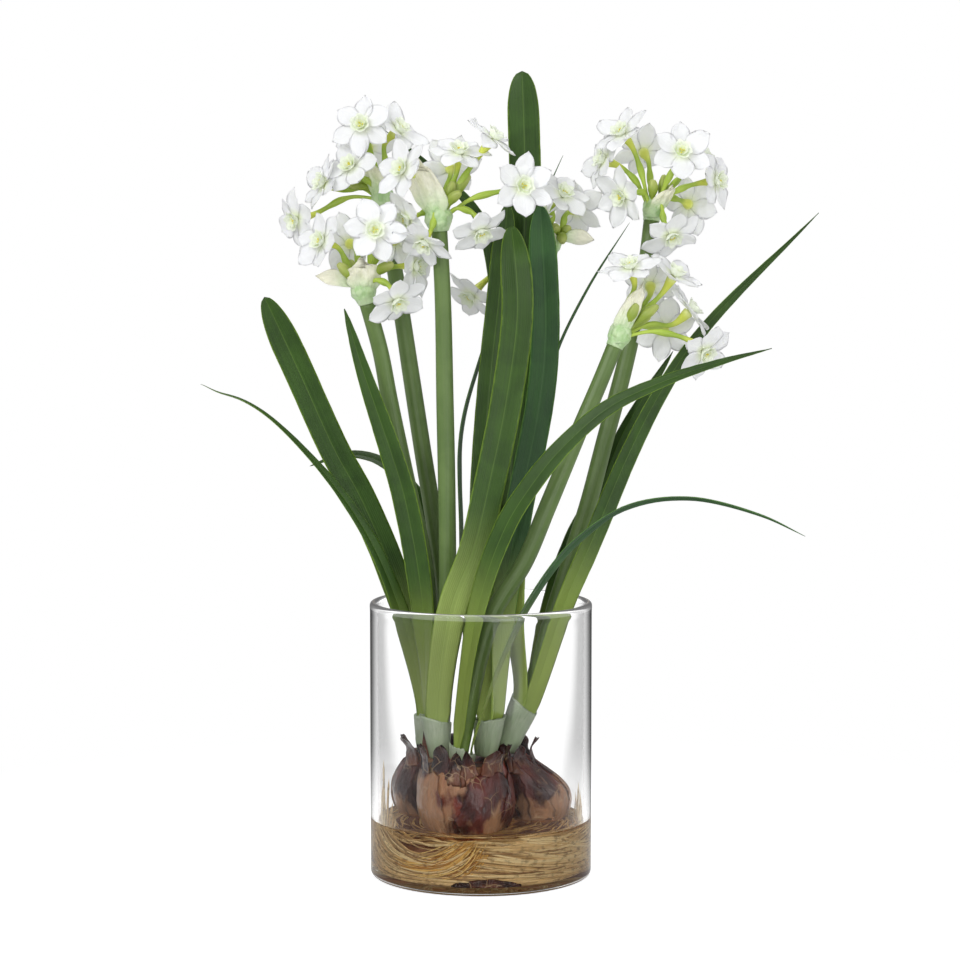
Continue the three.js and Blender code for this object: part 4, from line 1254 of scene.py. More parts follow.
    def build(self) -> Piece:
        """Returns the bulb's roots."""
        rng = random.Random(self.seed)
        bm = bmesh.new()
        self.lay_pad(bm)
        self.lay_bed_and_shade(bm)
        for sweep in self.sweeps:
            self.lay_sweep(bm, rng, sweep)
        self.lay_risers(bm, rng)
        self.lay_mat(bm, rng)
        finishes = (
            RootFinish(f"root strands {self.name}").make(),
            RootFinish(f"yellow tuft {self.name}", "d2a254", "8a5220", "e8cc88").make(),
            # The bed's darker tones paint the shade between the strands; its stronger glow is painted light too.
            RootFinish(f"root bed and painted shade {self.name}", "6e462a", "34160f", "9a7048", 0.25).make(),
        )
        return make_piece(f"strands_{self.name}", bm, finishes, [f"roots_{self.name}"])


ROOT_BALLS = (
    RootBall("left", Vector((-36, 22, 22)), 15, (
        Sweep(((184, 29), (165, 18), (140, 12), (115, 14), (95, 22)),
              ((176, 30), (160, 27), (142, 23), (122, 25), (105, 29)), 60),
        Sweep(((120, 11.5), (100, 12), (80, 12), (62, 14)), ((115, 26), (98, 24), (80, 24), (66, 27)), 34),
    ), ((188, 53, 4), (196, 67, -3), (203, 59, 3), (209, 46, 2)), (95, 215, 150), 5),
    RootBall("centre", Vector((-8, -22, 17)), 17, (
        Sweep(((-186, 28), (-168, 14), (-136, 11), (-110, 14), (-94, 21)),
              ((-150, 30.5), (-141, 27), (-128, 23), (-114, 23), (-102, 29)), 90),
        Sweep(((-186, 30), (-176, 22), (-160, 15), (-140, 12), (-118, 12)),
              ((-172, 31), (-168, 27), (-155, 22), (-138, 18), (-120, 17)), 40),
        Sweep(((-96, 19), (-66, 15), (-36, 12), (-4, 11)), ((-86, 28.5), (-62, 28), (-36, 28), (-6, 30)), 80),
        Sweep(((-88, 26), (-64, 22), (-38, 17), (-8, 13)), ((-68, 31), (-44, 28), (-20, 24), (8, 21)), 48, 1.5,
              (0.45, 1)),
        Sweep(((-112, 13), (-80, 11), (-45, 11), (-10, 12)), ((-100, 19), (-76, 18), (-48, 17), (-12, 17)), 44),
        Sweep(((-160, 11), (-125, 11), (-90, 11), (-50, 11), (-20, 11)),
              ((-150, 14), (-125, 13.5), (-92, 14), (-55, 13.5), (-30, 13)), 50),
        Sweep(((-100, 29), (-107, 26), (-119, 22), (-136, 20), (-150, 22)),
              ((-88, 28), (-91, 22), (-98, 16), (-112, 13), (-128, 13)), 120, 6.0, (0.1, 1), 1),
    ), (), (215, 335, 150), 6),
    RootBall("right", Vector((33, 10, 18)), 15, (
        Sweep(((-6, 14), (14, 12), (38, 12), (62, 20)), ((-10, 30), (12, 29), (36, 26), (58, 28)), 54),
        Sweep(((62, 12), (44, 11.5), (20, 12), (2, 13)), ((60, 24), (42, 22), (22, 19), (0, 20)), 34),
    ), ((-8, 44, 2), (8, 51, -3), (-2, 48, 3)), (-25, 95, 150), 7),
)


# ---------------------------------------------------------------------------------------------------- shoots


@dataclass(frozen=True)
class Shoot:
    """The pale sheath that holds the feet of some leaves and stems, standing on a bulb's crown.

    stand is the middle of its foot and lean its axis. seat is how high up it the leaf feet sit. slant is how far its
    torn top drops from one side to the other, and fall the direction of the low side in degrees.
    """

    name: str
    stand: Vector
    lean: Vector
    height: float
    bottom: float
    top: float
    seat: float
    slant: float = 3.0
    fall: float = 0.0
    ragged: float = 0.5
    wall: float = 0.8
    floor: float = 1.2
    slack: float = 0.6

    def frame(self) -> tuple[Vector, Vector, Vector, Vector]:
        """Returns its foot, its axis, and the directions to its right and its back."""
        axis = self.lean.normalized()
        right = DEPTH.cross(axis).normalized()
        base = self.stand + UP * (GAP + self.bottom * math.hypot(axis.x, axis.y))
        return base, axis, right, axis.cross(right)

    def inside(self, height: float, distance: float, degrees: float) -> Vector:
        """Returns the point that far up the shoot and that far off its axis."""
        base, axis, right, back = self.frame()
        angle = math.radians(degrees)
        return base + axis * height + right * (distance * math.cos(angle)) + back * (distance * math.sin(angle))

    def ring_inside(self, place: float, width: float, thickness: float, channel: float) -> float:
        """Returns how far off the axis a blade of that width fits inside the sheath."""
        room = lerp(self.bottom, self.top, place / self.height) - self.wall - self.slack
        return math.sqrt(room**2 - (width / 2) ** 2) - thickness / 2 - channel * width

    def build(self, finish: Finish) -> Piece:
        """Returns the sheath: a thin crumpled cup with a torn, slanting top."""
        rows = 18
        seed = self.height + self.top + self.bottom
        skin = 0.5

        def place(u: float, v: float) -> Vector:
            """Returns the sheath's point: up its outside for v under one half, and down its inside after that."""
            if v in (0.0, 1.0):
                return self.inside(0.0 if v == 0 else self.floor, 0.0, 0.0)
            outer = v <= 0.5
            rise = min((v if outer else 1 - v) / 0.5, 1.0)
            rise = max(rise - 1 / rows, 0.0) / (1 - 1 / rows)
            degrees = 360 * u
            angle = TAU * u
            torn = self.ragged * ripple_round(seed, 4, angle)
            drop = 0.5 * self.slant * (1 + math.cos(angle - math.radians(self.fall)))
            height = lerp(self.floor * (0 if outer else 1), self.height - drop + torn, rise)
            folds = 0.35 * ripple_round(seed + 2, 2.5, angle, 0.12 * height)
            pinch = 0.45 * math.exp(-((height - 5) / 3) ** 2) * ripple_round(seed + 8, 5, angle)
            radius = lerp(self.bottom, self.top, height / self.height) + folds + pinch
            return self.inside(height, radius - (0 if outer else skin), degrees)

        bm = bmesh.new()
        lay_skin(bm, 56, 2 * rows, place, lambda u, v: (u, 1 - abs(1 - 2 * v)))
        return make_piece(f"wrap_{self.name}", bm, [finish], [f"sheath_{self.name}"])


SHOOTS = {
    shoot.name: shoot
    for shoot in (
        Shoot("front_left", Vector((-23, -13, 68)), Vector((-0.09, 0, 1)), 25, 5.6, 9.2, 9, 6.5, 10),
        Shoot("front", Vector((-10.5, -25, 68)), Vector((0.14, 0, 1)), 8, 7, 8.4, 2, 5, 20, 3),
        Shoot("middle", Vector((2.5, -11.5, 68)), Vector((0.1, 0.05, 1)), 24, 6, 9.4, 9, 4, 200),
        Shoot("right", Vector((14, 4, 67)), Vector((0.42, 0, 1)), 31, 6, 9.2, 9, 5, 340),
        Shoot("back_left", Vector((-28, 13, 68)), Vector((0, 0, 1)), 24, 9, 11, 5, 4, 180),
    )
}


# ---------------------------------------------------------------------------------------------------- leaves


class LeafTone(Enum):
    """The three shades of green among the leaves."""

    DEEP = "deep leaf"
    FRESH = "fresh leaf"
    SLENDER = "slender leaf"


LEAF_FINISHES = {
    LeafTone.DEEP: LeafFinish("deep leaf"),
    LeafTone.FRESH: LeafFinish("fresh leaf", deep="1e350d", fresh="3a5a18", foot="c2d878", foot_reach=0.5),
    LeafTone.SLENDER: LeafFinish("slender leaf", deep="1f3d24", fresh="375f2c", edge="6c9a44", rib="5f8c48"),
}


@dataclass(frozen=True)
class Leaf:
    """A strap leaf.

    root: the shoot that it grows in. at: on which side of it, in degrees. route: the points that its midrib passes
    above the sheath. turn: how far the blade is turned from facing the viewer, in degrees, at its foot, its middle
    and its tip. taper: the share of its length at which it starts to narrow. blunt: how round its tip is. hook: how
    far its tip curls over, in millimetres.
    """

    name: str
    root: str
    at: float
    width: float
    turn: tuple[float, float, float]
    taper: float
    blunt: float
    route: Sequence[Point]
    tone: LeafTone = LeafTone.DEEP
    neck: float = 7.6
    collar: float = 11.5
    hook: float = 0.0
    foot: float = 5.2
    thickness: float = 0.9
    channel: float = 0.09
    neck_place: float = 0.06

    def spine(self) -> Spline:
        """Returns the midrib."""
        shoot = SHOOTS[self.root]
        low = shoot.ring_inside(shoot.seat, self.foot, self.thickness, self.channel)
        high = shoot.ring_inside(shoot.height, self.neck, self.thickness, self.channel)
        foot = shoot.inside(shoot.seat, low, self.at)
        neck = shoot.inside(shoot.height, high, self.at)
        return Spline([foot, neck, *self.route])

    def width_at(self, t: float) -> float:
        """Returns the blade's width at that share of its length."""
        if t > self.taper:
            u = min((t - self.taper) / (1 - self.taper), 1.0)
            return max(self.width * (1 - u**self.blunt) ** (1 / self.blunt), 0.5)
        low = lerp(self.foot, min(self.collar, self.width), smooth(0, self.neck_place, t))
        return lerp(low, self.width, smooth(self.neck_place, 0.28, t))

    def turn_at(self, t: float) -> float:
        """Returns how far the blade is turned at that share of its length, in radians."""
        foot, middle, tip = self.turn
        lower = lerp(foot, middle, smooth(self.neck_place, 0.4, t))
        return math.radians(lerp(lower, tip, smooth(0.4, 1, t)))

    def build(self, finish: Finish) -> Piece:
        """Returns the leaf: a channelled blade with a crease along its midrib and a slow wave in its edges."""
        spine = self.spine()
        seed = self.at + self.width
        rows = max(40, int(spine.length / 4.5))

        @lru_cache(maxsize=None)
        def station(t: float) -> tuple[Vector, Vector, Vector, float]:
            """Returns the midrib's point, the directions across and out of the blade, and its width."""
            point, tangent = spine.point(t), spine.tangent(t)
            across = DEPTH.cross(tangent).normalized()
            away = tangent.cross(across)
            turn = self.turn_at(t) + 0.05 * ripple(seed, 9 * t)
            side = across * math.cos(turn) + away * math.sin(turn)
            normal = tangent.cross(side)
            hook = normal * (self.hook * smooth(0.93, 1.0, t) ** 2)
            return point + hook, side, normal, self.width_at(t)

        def place(s: float, v: float, lift: float) -> Vector:
            """Returns the blade's point at s and v, with its rows closer together near the tip."""
            t = 1 - (1 - v) ** 1.25
            point, side, normal, width = station(t)
            share = s - 0.5
            open_up = smooth(self.neck_place, 0.3, t)
            trough = (1 - abs(2 * share) ** 1.25) * self.channel * width
            crease = 0.3 * math.exp(-((share * width / 0.8) ** 2)) * open_up
            fray = 0.14 * ripple(seed + (1 if share > 0 else 4), 90 * t) * open_up * (1 if abs(share) > 0.45 else 0)
            wave = 0.5 * share * abs(share) * ripple(seed + 6, 14 * t, 2 * share) * width * 0.35 * open_up
            return point + side * (share * width + fray) + normal * (trough + crease + wave + lift)

        bm = bmesh.new()
        lay_sheet(bm, 12, rows, place, self.thickness, lambda s, v: (s, 1 - (1 - v) ** 1.25))
        return make_piece(f"blade_{self.name}", bm, [finish], [f"leaf_{self.name}"])


LEAVES = (
    Leaf("left_low", "back_left", 218, 10, (-52, 35, 72), 0.3, 1.2,
         ((-47, -7, 156), (-69, -14, 204), (-107, -18, 251), (-131, -18, 269), (-156, -15, 276)), hook=-2.5),
    Leaf("left_broad", "back_left", 160, 17, (-110, 5, 0), 0.88, 2,
         ((-45, 10, 154), (-67, 7, 211), (-82, 5, 239), (-102, 3, 284), (-121, 0, 326))),
    Leaf("left_inner", "front_left", 190, 14, (-80, -10, 10), 0.5, 1.6,
         ((-33, -19, 157), (-42, -20, 213), (-50, -21, 241), (-65, -24, 286), (-75, -27, 320))),
    Leaf("left_drooping", "back_left", 98, 12, (8, 30, 60), 0.55, 1.6,
         ((-25, 27, 151), (-27, 33, 182), (-36, 37, 210), (-56, 41, 230), (-76, 43, 235), (-99, 44, 228))),
    Leaf("front_broad", "front_left", -70, 17.5, (20, 8, -5), 0.9, 2,
         ((-16, -27, 153), (-4, -30, 186), (5, -32, 225), (14, -33, 270), (20, -34, 320), (17, -30, 365)),
         LeafTone.FRESH, neck=10.5, collar=15, hook=-4),
    Leaf("centre_front", "middle", -45, 16, (45, 5, 0), 0.9, 2,
         ((13, -14, 156), (21, -9, 206), (33, -5, 268), (36, -3, 307), (33, -6, 377)), LeafTone.SLENDER),
    Leaf("centre_tall", "right", 222, 18, (132, 165, 180), 0.93, 2.2,
         ((18, -2, 150), (17, 4, 210), (19, 10, 267), (23, 14, 324), (25, 15, 381), (23, 12, 452))),
    Leaf("centre_back", "middle", -115, 14, (-25, 0, 0), 0.88, 2,
         ((0, -12, 156), (1, -4, 222), (6, 2, 287), (10, 3, 324), (15, 2, 378)), LeafTone.FRESH),
    Leaf("back_left_thin", "middle", 175, 9, (85, 75, 70), 0.4, 1.2,
         ((-9, 6, 135), (-11, 24, 193), (-11, 35, 248), (-1, 42, 287), (14, 50, 329), (32, 60, 372), (48, 66, 407)),
         LeafTone.SLENDER),
    Leaf("back_right_thin", "right", 140, 9, (50, 75, 75), 0.4, 1.2,
         ((21, 24, 151), (27, 38, 207), (37, 46, 265), (44, 50, 293), (62, 53, 330), (86, 50, 368)),
         LeafTone.SLENDER),
    Leaf("front_arching", "front", 215, 13, (-55, -30, -25), 0.45, 1.3,
         ((-2, -37, 157), (13, -42, 201), (27, -45, 224), (43, -47, 244), (69, -49, 267), (98, -50, 281),
          (131, -49, 292), (158, -46, 299))),
    Leaf("right_upper", "right", -60, 12, (30, 15, 30), 0.4, 1.3,
         ((48, -7, 156), (61, -7, 186), (82, -5, 236), (101, -1, 273), (126, 4, 309), (190, 12, 373))),
    Leaf("front_thin", "front", -10, 10, (80, 60, 62), 0.4, 1.2,
         ((12, -37, 128), (30, -45, 165), (51, -52, 193), (79, -56, 213), (113, -58, 218), (151, -58, 209),
          (176, -55, 197)), LeafTone.SLENDER),
    Leaf("right_back", "right", 62, 12, (152, 165, 160), 0.5, 1.5,
         ((41, 22, 152), (53, 26, 186), (68, 27, 215), (82, 25, 249), (109, 20, 295))),
    Leaf("back_arching", "middle", 110, 13, (20, 20, 40), 0.5, 1.4,
         ((3, 8, 120), (4, 21, 153), (8, 35, 237), (12, 39, 300), (3, 44, 361), (-6, 47, 378), (-34, 51, 404),
          (-55, 53, 421))),
)


# -------------------------------------------------------------------------------------- flower stems, heads


@dataclass(frozen=True)
class Floret:
    """One open flower: where its middle lies, seen from the hub, and the way it looks."""

    at: Point
    face: Point


@dataclass(frozen=True)
class Bract:
    """A papery bract.

    toward is the direction of its middle in degrees, lean how far its top is swept along X and Y, and shoulder the
    share of its height at which it starts to close: low for a pointed one, high for a blunt one.
    """

    toward: float
    height: float
    width: float
    lean: tuple[float, float] = (0.0, 0.0)
    shoulder: float = 0.8


@dataclass(frozen=True)
class Stem:
    """A flower stem and the head at its top.

    root: the shoot that it grows in. offset: how far off the shoot's axis it stands, as a share of the room there.
    route: its points above the shoot, the last one the hub that the flower stalks spread from.
    """

    name: str
    root: str
    offset: tuple[float, float]
    route: Sequence[Point]
    collar: float
    bracts: Sequence[Bract]
    florets: Sequence[Floret]
    buds: Sequence[Point]
    wisps: Sequence[Point] = ()
    foot_radius: float = 3.0
    neck_radius: float = 4.0
    radius: float = 4.9
    top_radius: float = 4.4

    def spine(self) -> Spline:
        """Returns the stem's centre line."""
        shoot = SHOOTS[self.root]
        share = math.hypot(*self.offset)
        degrees = math.degrees(math.atan2(self.offset[1], self.offset[0]))
        low = share * (shoot.bottom - shoot.wall - shoot.slack - self.foot_radius)
        high = share * (shoot.top - shoot.wall - shoot.slack - self.neck_radius)
        foot = shoot.inside(shoot.floor + GAP, low, degrees)
        neck = shoot.inside(max(shoot.height, 16), high, degrees)
        return Spline([foot, neck, *self.route])

    def build(self, finish: Finish) -> Piece:
        """Returns the stem, a smooth rod with three soft ribs."""

        def radius(u: float, v: float) -> float:
            """Returns the stem's radius."""
            grown = lerp(self.foot_radius, self.radius, smooth(0, 0.14, v))
            full = lerp(grown, self.top_radius, smooth(0.6, 1, v))
            return full * (1 + 0.025 * math.cos(3 * TAU * u + 2 * v)) * capped(v, 0.012)

        bm = bmesh.new()
        lay_skin(bm, 28, 90, tube(self.spine(), radius))
        return make_piece(f"stem_{self.name}", bm, [finish], [f"scape_{self.name}"])


@dataclass
class FlowerHead:
    """The head on a stem: its hub, papery spathe, stalks, open flowers and buds."""

    stem: Stem
    seed: int
    tepal_length: float = 18.5
    tepal_width: float = 12.6
    tepal_thickness: float = 0.3
    corona_height: float = 4.0
    corona_radius: float = 5.4
    tube_length: float = 13.0
    bud_radius: float = 3.0
    hub: Vector = field(init=False)
    axis: Vector = field(init=False)
    rng: random.Random = field(init=False)

    def __post_init__(self) -> None:
        """Finds the hub at the top of the stem."""
        spine = self.stem.spine()
        self.hub = spine.point(1)
        self.axis = spine.tangent(1)
        self.rng = random.Random(self.seed)

    def stalk_route(self, end: Vector) -> list[Vector]:
        """Returns where a stalk leaves the hub, and the point that it bows over on its way to the end given."""
        outward = end - self.hub
        outward = (outward - self.axis * outward.dot(self.axis)).normalized()
        start = self.hub + self.axis * 3.5 + outward * 2.4
        bow = (self.hub + self.axis * 11 + outward * 4).lerp(end, 0.4)
        return [start, bow]

    def lay_hub(self, bm: Mesh) -> None:
        """Adds the swollen end of the stem that the stalks spread from."""
        top = self.hub + self.axis * 7
        spline = Spline([self.hub + self.axis * GAP, self.hub.lerp(top, 0.5), top])
        lay_skin(bm, 24, 10, tube(spline, lambda u, v: through((4.4, 4.7, 4.2, 2.6), v) * capped(v, 0.15)),
                 lambda u, v: (u, 0.1))

    def lay_tepal(self, bm: Mesh, basis: Matrix, angle: float, outer: bool, reflex: float) -> None:
        """Adds one tepal: a broad spoon with a small point, cupped along and waved at its edges."""
        length = self.tepal_length * self.rng.uniform(0.93, 1.03)
        width = self.tepal_width * self.rng.uniform(0.92, 1.06) * (0.94 if outer else 1.04)
        droop = reflex + self.rng.uniform(-1.2, 1.2)
        seed = self.rng.uniform(0, 90)
        skew = self.rng.uniform(-0.8, 0.8)
        twist = self.rng.uniform(-0.2, 0.2)
        curl = self.rng.uniform(-2.2, 2.2)
        spin = Matrix.Rotation(angle, 3, "Z")
        low = -1.0 if outer else -0.2

        def place(s: float, t: float, lift: float) -> Vector:
            """Returns the tepal's point at s and t."""
            side = 2 * s - 1
            half = 0.5 * width * through((0.32, 0.52, 0.76, 0.94, 1.0, 0.95, 0.81, 0.54, 0.02), t)
            reach = 1.6 + (length - 1.6) * t - 0.5 * side * side * t
            spoon = 1.1 * (1 - side * side) * math.sin(math.pi * t)
            crease = 0.35 * math.exp(-((side / 0.14) ** 2)) * math.sin(math.pi * t)
            wave = 1.3 * side * abs(side) * ripple(seed, 4 * t, side) + 0.5 * ripple(seed + 2, 6 * t, 3 * s)
            lift += low + droop * t * t + curl * t**5 - spoon - crease + wave * smooth(0, 0.3, t)
            height = lift + 1.8 * math.sin(0.5 * math.pi * t) + twist * half * side * 2 * t
            return basis @ (spin @ Vector((reach, half * side + skew * t * t, height)))

        lay_sheet(bm, 8, 13, place, self.tepal_thickness)

    def lay_cup(self, bm: Mesh, basis: Matrix, girth: float, rise: float) -> None:
        """Adds a frilled cup to the middle of a flower, scaled in girth and in height."""
        seed = self.rng.uniform(0, 90)
        rows = len(CUP_PROFILE) - 1

        def place(u: float, v: float) -> Vector:
            """Returns the cup's point at u and v."""
            radius, height, frill = CUP_PROFILE[round(v * rows)]
            angle = TAU * u
            lobes = 0.42 * math.cos(6 * angle + seed) + 0.24 * math.sin(11 * angle) + 0.3 * ripple(seed, 5 * u)
            radius = (radius + 0.7 * frill * lobes) * girth
            height = (height + 0.5 * frill * math.cos(6 * angle + seed + 0.8)) * rise
            return basis @ Vector((radius * math.cos(angle), radius * math.sin(angle), height))

        def paint(u: float, v: float) -> tuple[float, float]:
            """Paints the outside pale, and the inside from its rim down to its throat."""
            return (u, 0.7 + 0.6 * v) if v < 0.5 else (u, 2 - 2 * v)

        lay_skin(bm, 36, rows, place, paint, 1)

    def lay_anthers(self, bm: Mesh, basis: Matrix) -> None:
        """Adds three anthers and the stigma in the throat."""
        for k in range(4):
            angle = TAU * k / 3 + self.rng.uniform(-0.3, 0.3)
            distance, height = (1.25, 1.5) if k < 3 else (0.0, 2.1)
            middle = Vector((distance * math.cos(angle), distance * math.sin(angle), height))
            made = bmesh.ops.create_uvsphere(bm, u_segments=8, v_segments=6, radius=1.0)
            bmesh.ops.scale(bm, vec=(0.42, 0.42, 0.95), verts=made["verts"])
            for vert in made["verts"]:
                vert.co = basis @ (middle + vert.co)
                for face in vert.link_faces:
                    face.material_index = 2
                    face.smooth = True

    def lay_tube(self, bm: Mesh, centre: Vector, look: Vector) -> None:
        """Adds a flower's stalk, its ovary and the tube that widens into the tepals."""
        start = centre - look * self.tube_length
        spline = Spline([*self.stalk_route(start), start, centre - look * 0.8])
        radii = (1.05, 1.0, 1.0, 1.05, 1.25, 1.9, 1.95, 1.4, 1.35, 1.6, 2.1, 2.8, 3.3)

        def radius(u: float, v: float) -> float:
            """Returns the tube's radius, softly three-sided at the ovary."""
            ovary = math.exp(-(((v - 0.46) / 0.08) ** 2))
            return through(radii, v) * (1 + 0.07 * ovary * math.cos(3 * TAU * u)) * capped(v, 0.015)

        lay_skin(bm, 14, 40, tube(spline, radius))

    def lay_floret(self, petals: Mesh, stalks: Mesh, floret: Floret) -> None:
        """Adds one open flower and its stalk."""
        look = Vector(floret.face).normalized()
        centre = self.hub + Vector(floret.at)
        basis = Matrix.Translation(centre) @ look.to_track_quat("Z", "Y").to_matrix().to_4x4()
        first = self.rng.uniform(0, TAU)
        reflex = self.rng.uniform(-3, 3)
        for k in range(6):
            outer = k % 2 == 0
            angle = first + TAU * k / 6 + self.rng.uniform(-0.06, 0.06)
            self.lay_tepal(petals, basis, angle, outer, reflex - (0.8 if outer else -0.4))
        girth = self.corona_radius / CUP_RADIUS
        self.lay_cup(petals, basis, girth, self.corona_height / CUP_HEIGHT)
        self.lay_cup(petals, basis, girth * 0.6, 0.8)
        self.lay_anthers(petals, basis)
        self.lay_tube(stalks, centre, look)

    def lay_bud(self, bm: Mesh, tip: Point) -> None:
        """Adds a closed bud on its stalk."""
        end = self.hub + Vector(tip)
        spline = Spline([*self.stalk_route(end), end])
        radii = (1.0, 0.95, 1.0, 1.3, 2.2, 2.9, 2.9, 2.3, 1.2)

        def radius(u: float, v: float) -> float:
            """Returns the bud's radius, in three soft sides."""
            full = smooth(0.4, 0.6, v)
            return through(radii, v) * self.bud_radius / 3 * (1 + 0.06 * full * math.cos(3 * TAU * u)) * capped(v, 0.04)

        lay_skin(bm, 18, 30, tube(spline, radius), material=1)

    def lay_bract(self, bm: Mesh, bract: Bract) -> None:
        """Adds a papery bract that clasps the hub and stands up beside the stalks, crumpled like tissue."""
        seed = self.rng.uniform(0, 90)
        lean = Vector((*bract.lean, 0))
        out, over = polar(1, bract.toward, 0), polar(1, bract.toward + 90, 0)

        def place(s: float, t: float, lift: float) -> Vector:
            """Returns the bract's point at s and t."""
            side = 2 * s - 1
            past = max(0.0, (t - bract.shoulder) / (1 - bract.shoulder))
            closing = max(math.sqrt(max(0.0, 1 - past**2.4)), 0.02)
            angle = math.radians(bract.toward + 100 * side)
            clasp = Vector((math.cos(angle), math.sin(angle), 0)) * 4.9
            half = lerp(5, 0.5 * bract.width, smooth(0, 0.5, t)) * closing * (1 + 0.1 * ripple(seed, 6 * t, side))
            open_sheet = out * (5.2 + 1.5 * t - 0.3 * half * side * side) + over * (half * side)
            crumple = 1.3 * ripple(seed + 3, 4 * s, 4 * t) + 0.6 * ripple(seed + 5, 15 * s, 9 * t)
            torn = 0.16 * ripple(seed + 9, 3 * s) + 0.07 * ripple(seed + 11, 11 * s) - 0.12 * side * side
            height = -1.5 + t * bract.height * (1 + torn * t)
            spot = clasp.lerp(open_sheet, smooth(0.02, 0.45, t)) + out * (crumple * smooth(0, 0.12, t) + lift)
            return self.hub + self.axis * height + lean * (t * t) + spot

        lay_sheet(bm, 30, 30, place, 0.35)

    def lay_wisp(self, bm: Mesh, tip: Point) -> None:
        """Adds a small spoon-shaped bract that reaches out sideways to the tip given."""
        start, end = self.hub + self.axis * 5, self.hub + Vector(tip)
        spline = Spline([start, start.lerp(end, 0.5) + UP * 2, end])
        seed = self.rng.uniform(0, 90)

        def place(s: float, t: float, lift: float) -> Vector:
            """Returns the bract's point at s and t."""
            side = 2 * s - 1
            tangent = spline.tangent(t)
            up = (UP - tangent * UP.dot(tangent)).normalized()
            half = 4.6 * through((0.25, 0.4, 0.8, 1.0, 0.8, 0.05), t) * (1 + 0.15 * ripple(seed, 4 * t, side))
            fold = 1.6 * (1 - side * side) + 0.8 * ripple(seed + 3, 3 * s, 4 * t) + lift
            return spline.point(t) + up * (half * side) + tangent.cross(up) * fold

        lay_sheet(bm, 12, 18, place, 0.35)

    def lay_collar(self, bm: Mesh) -> None:
        """Adds the crumpled green foot of the spathe, wrapped all round the hub."""
        seed = self.rng.uniform(0, 90)
        spline = Spline([self.hub - self.axis * 4, self.hub + self.axis * 3, self.hub + self.axis * 11])
        wide = self.stem.collar

        def radius(u: float, v: float) -> float:
            """Returns the collar's radius, deeply crumpled."""
            angle = TAU * u
            folds = 0.7 * ripple_round(seed, 2.6, angle, 3 * v) + 0.5 * ripple_round(seed + 4, 6, angle, 8 * v)
            girth = through((4.75, 0.8 * wide, 0.97 * wide, wide, 0.85 * wide, 0.6 * wide), v)
            return (girth + folds * smooth(0.0, 0.25, v)) * capped(v, 0.03)

        lay_skin(bm, 48, 26, tube(spline, radius), lambda u, v: (u, 0.12))

    def build(self, petal_finishes: Sequence[Finish], stalk_finishes: Sequence[Finish],
              paper: Finish) -> list[Piece]:
        """Returns the head's three pieces: its flowers, its stalks and buds, and its spathe."""
        name = self.stem.name
        petals, stalks, wraps = bmesh.new(), bmesh.new(), bmesh.new()
        self.lay_hub(stalks)
        for floret in self.stem.florets:
            self.lay_floret(petals, stalks, floret)
        for tip in self.stem.buds:
            self.lay_bud(stalks, tip)
        self.lay_collar(wraps)
        for bract in self.stem.bracts:
            self.lay_bract(wraps, bract)
        for tip in self.stem.wisps:
            self.lay_wisp(wraps, tip)
        node = [f"head_{name}"]
        return [
            make_piece(f"flowers_{name}", petals, petal_finishes, node),
            make_piece(f"stalks_{name}", stalks, stalk_finishes, node),
            make_piece(f"spathe_{name}", wraps, [paper], node),
        ]


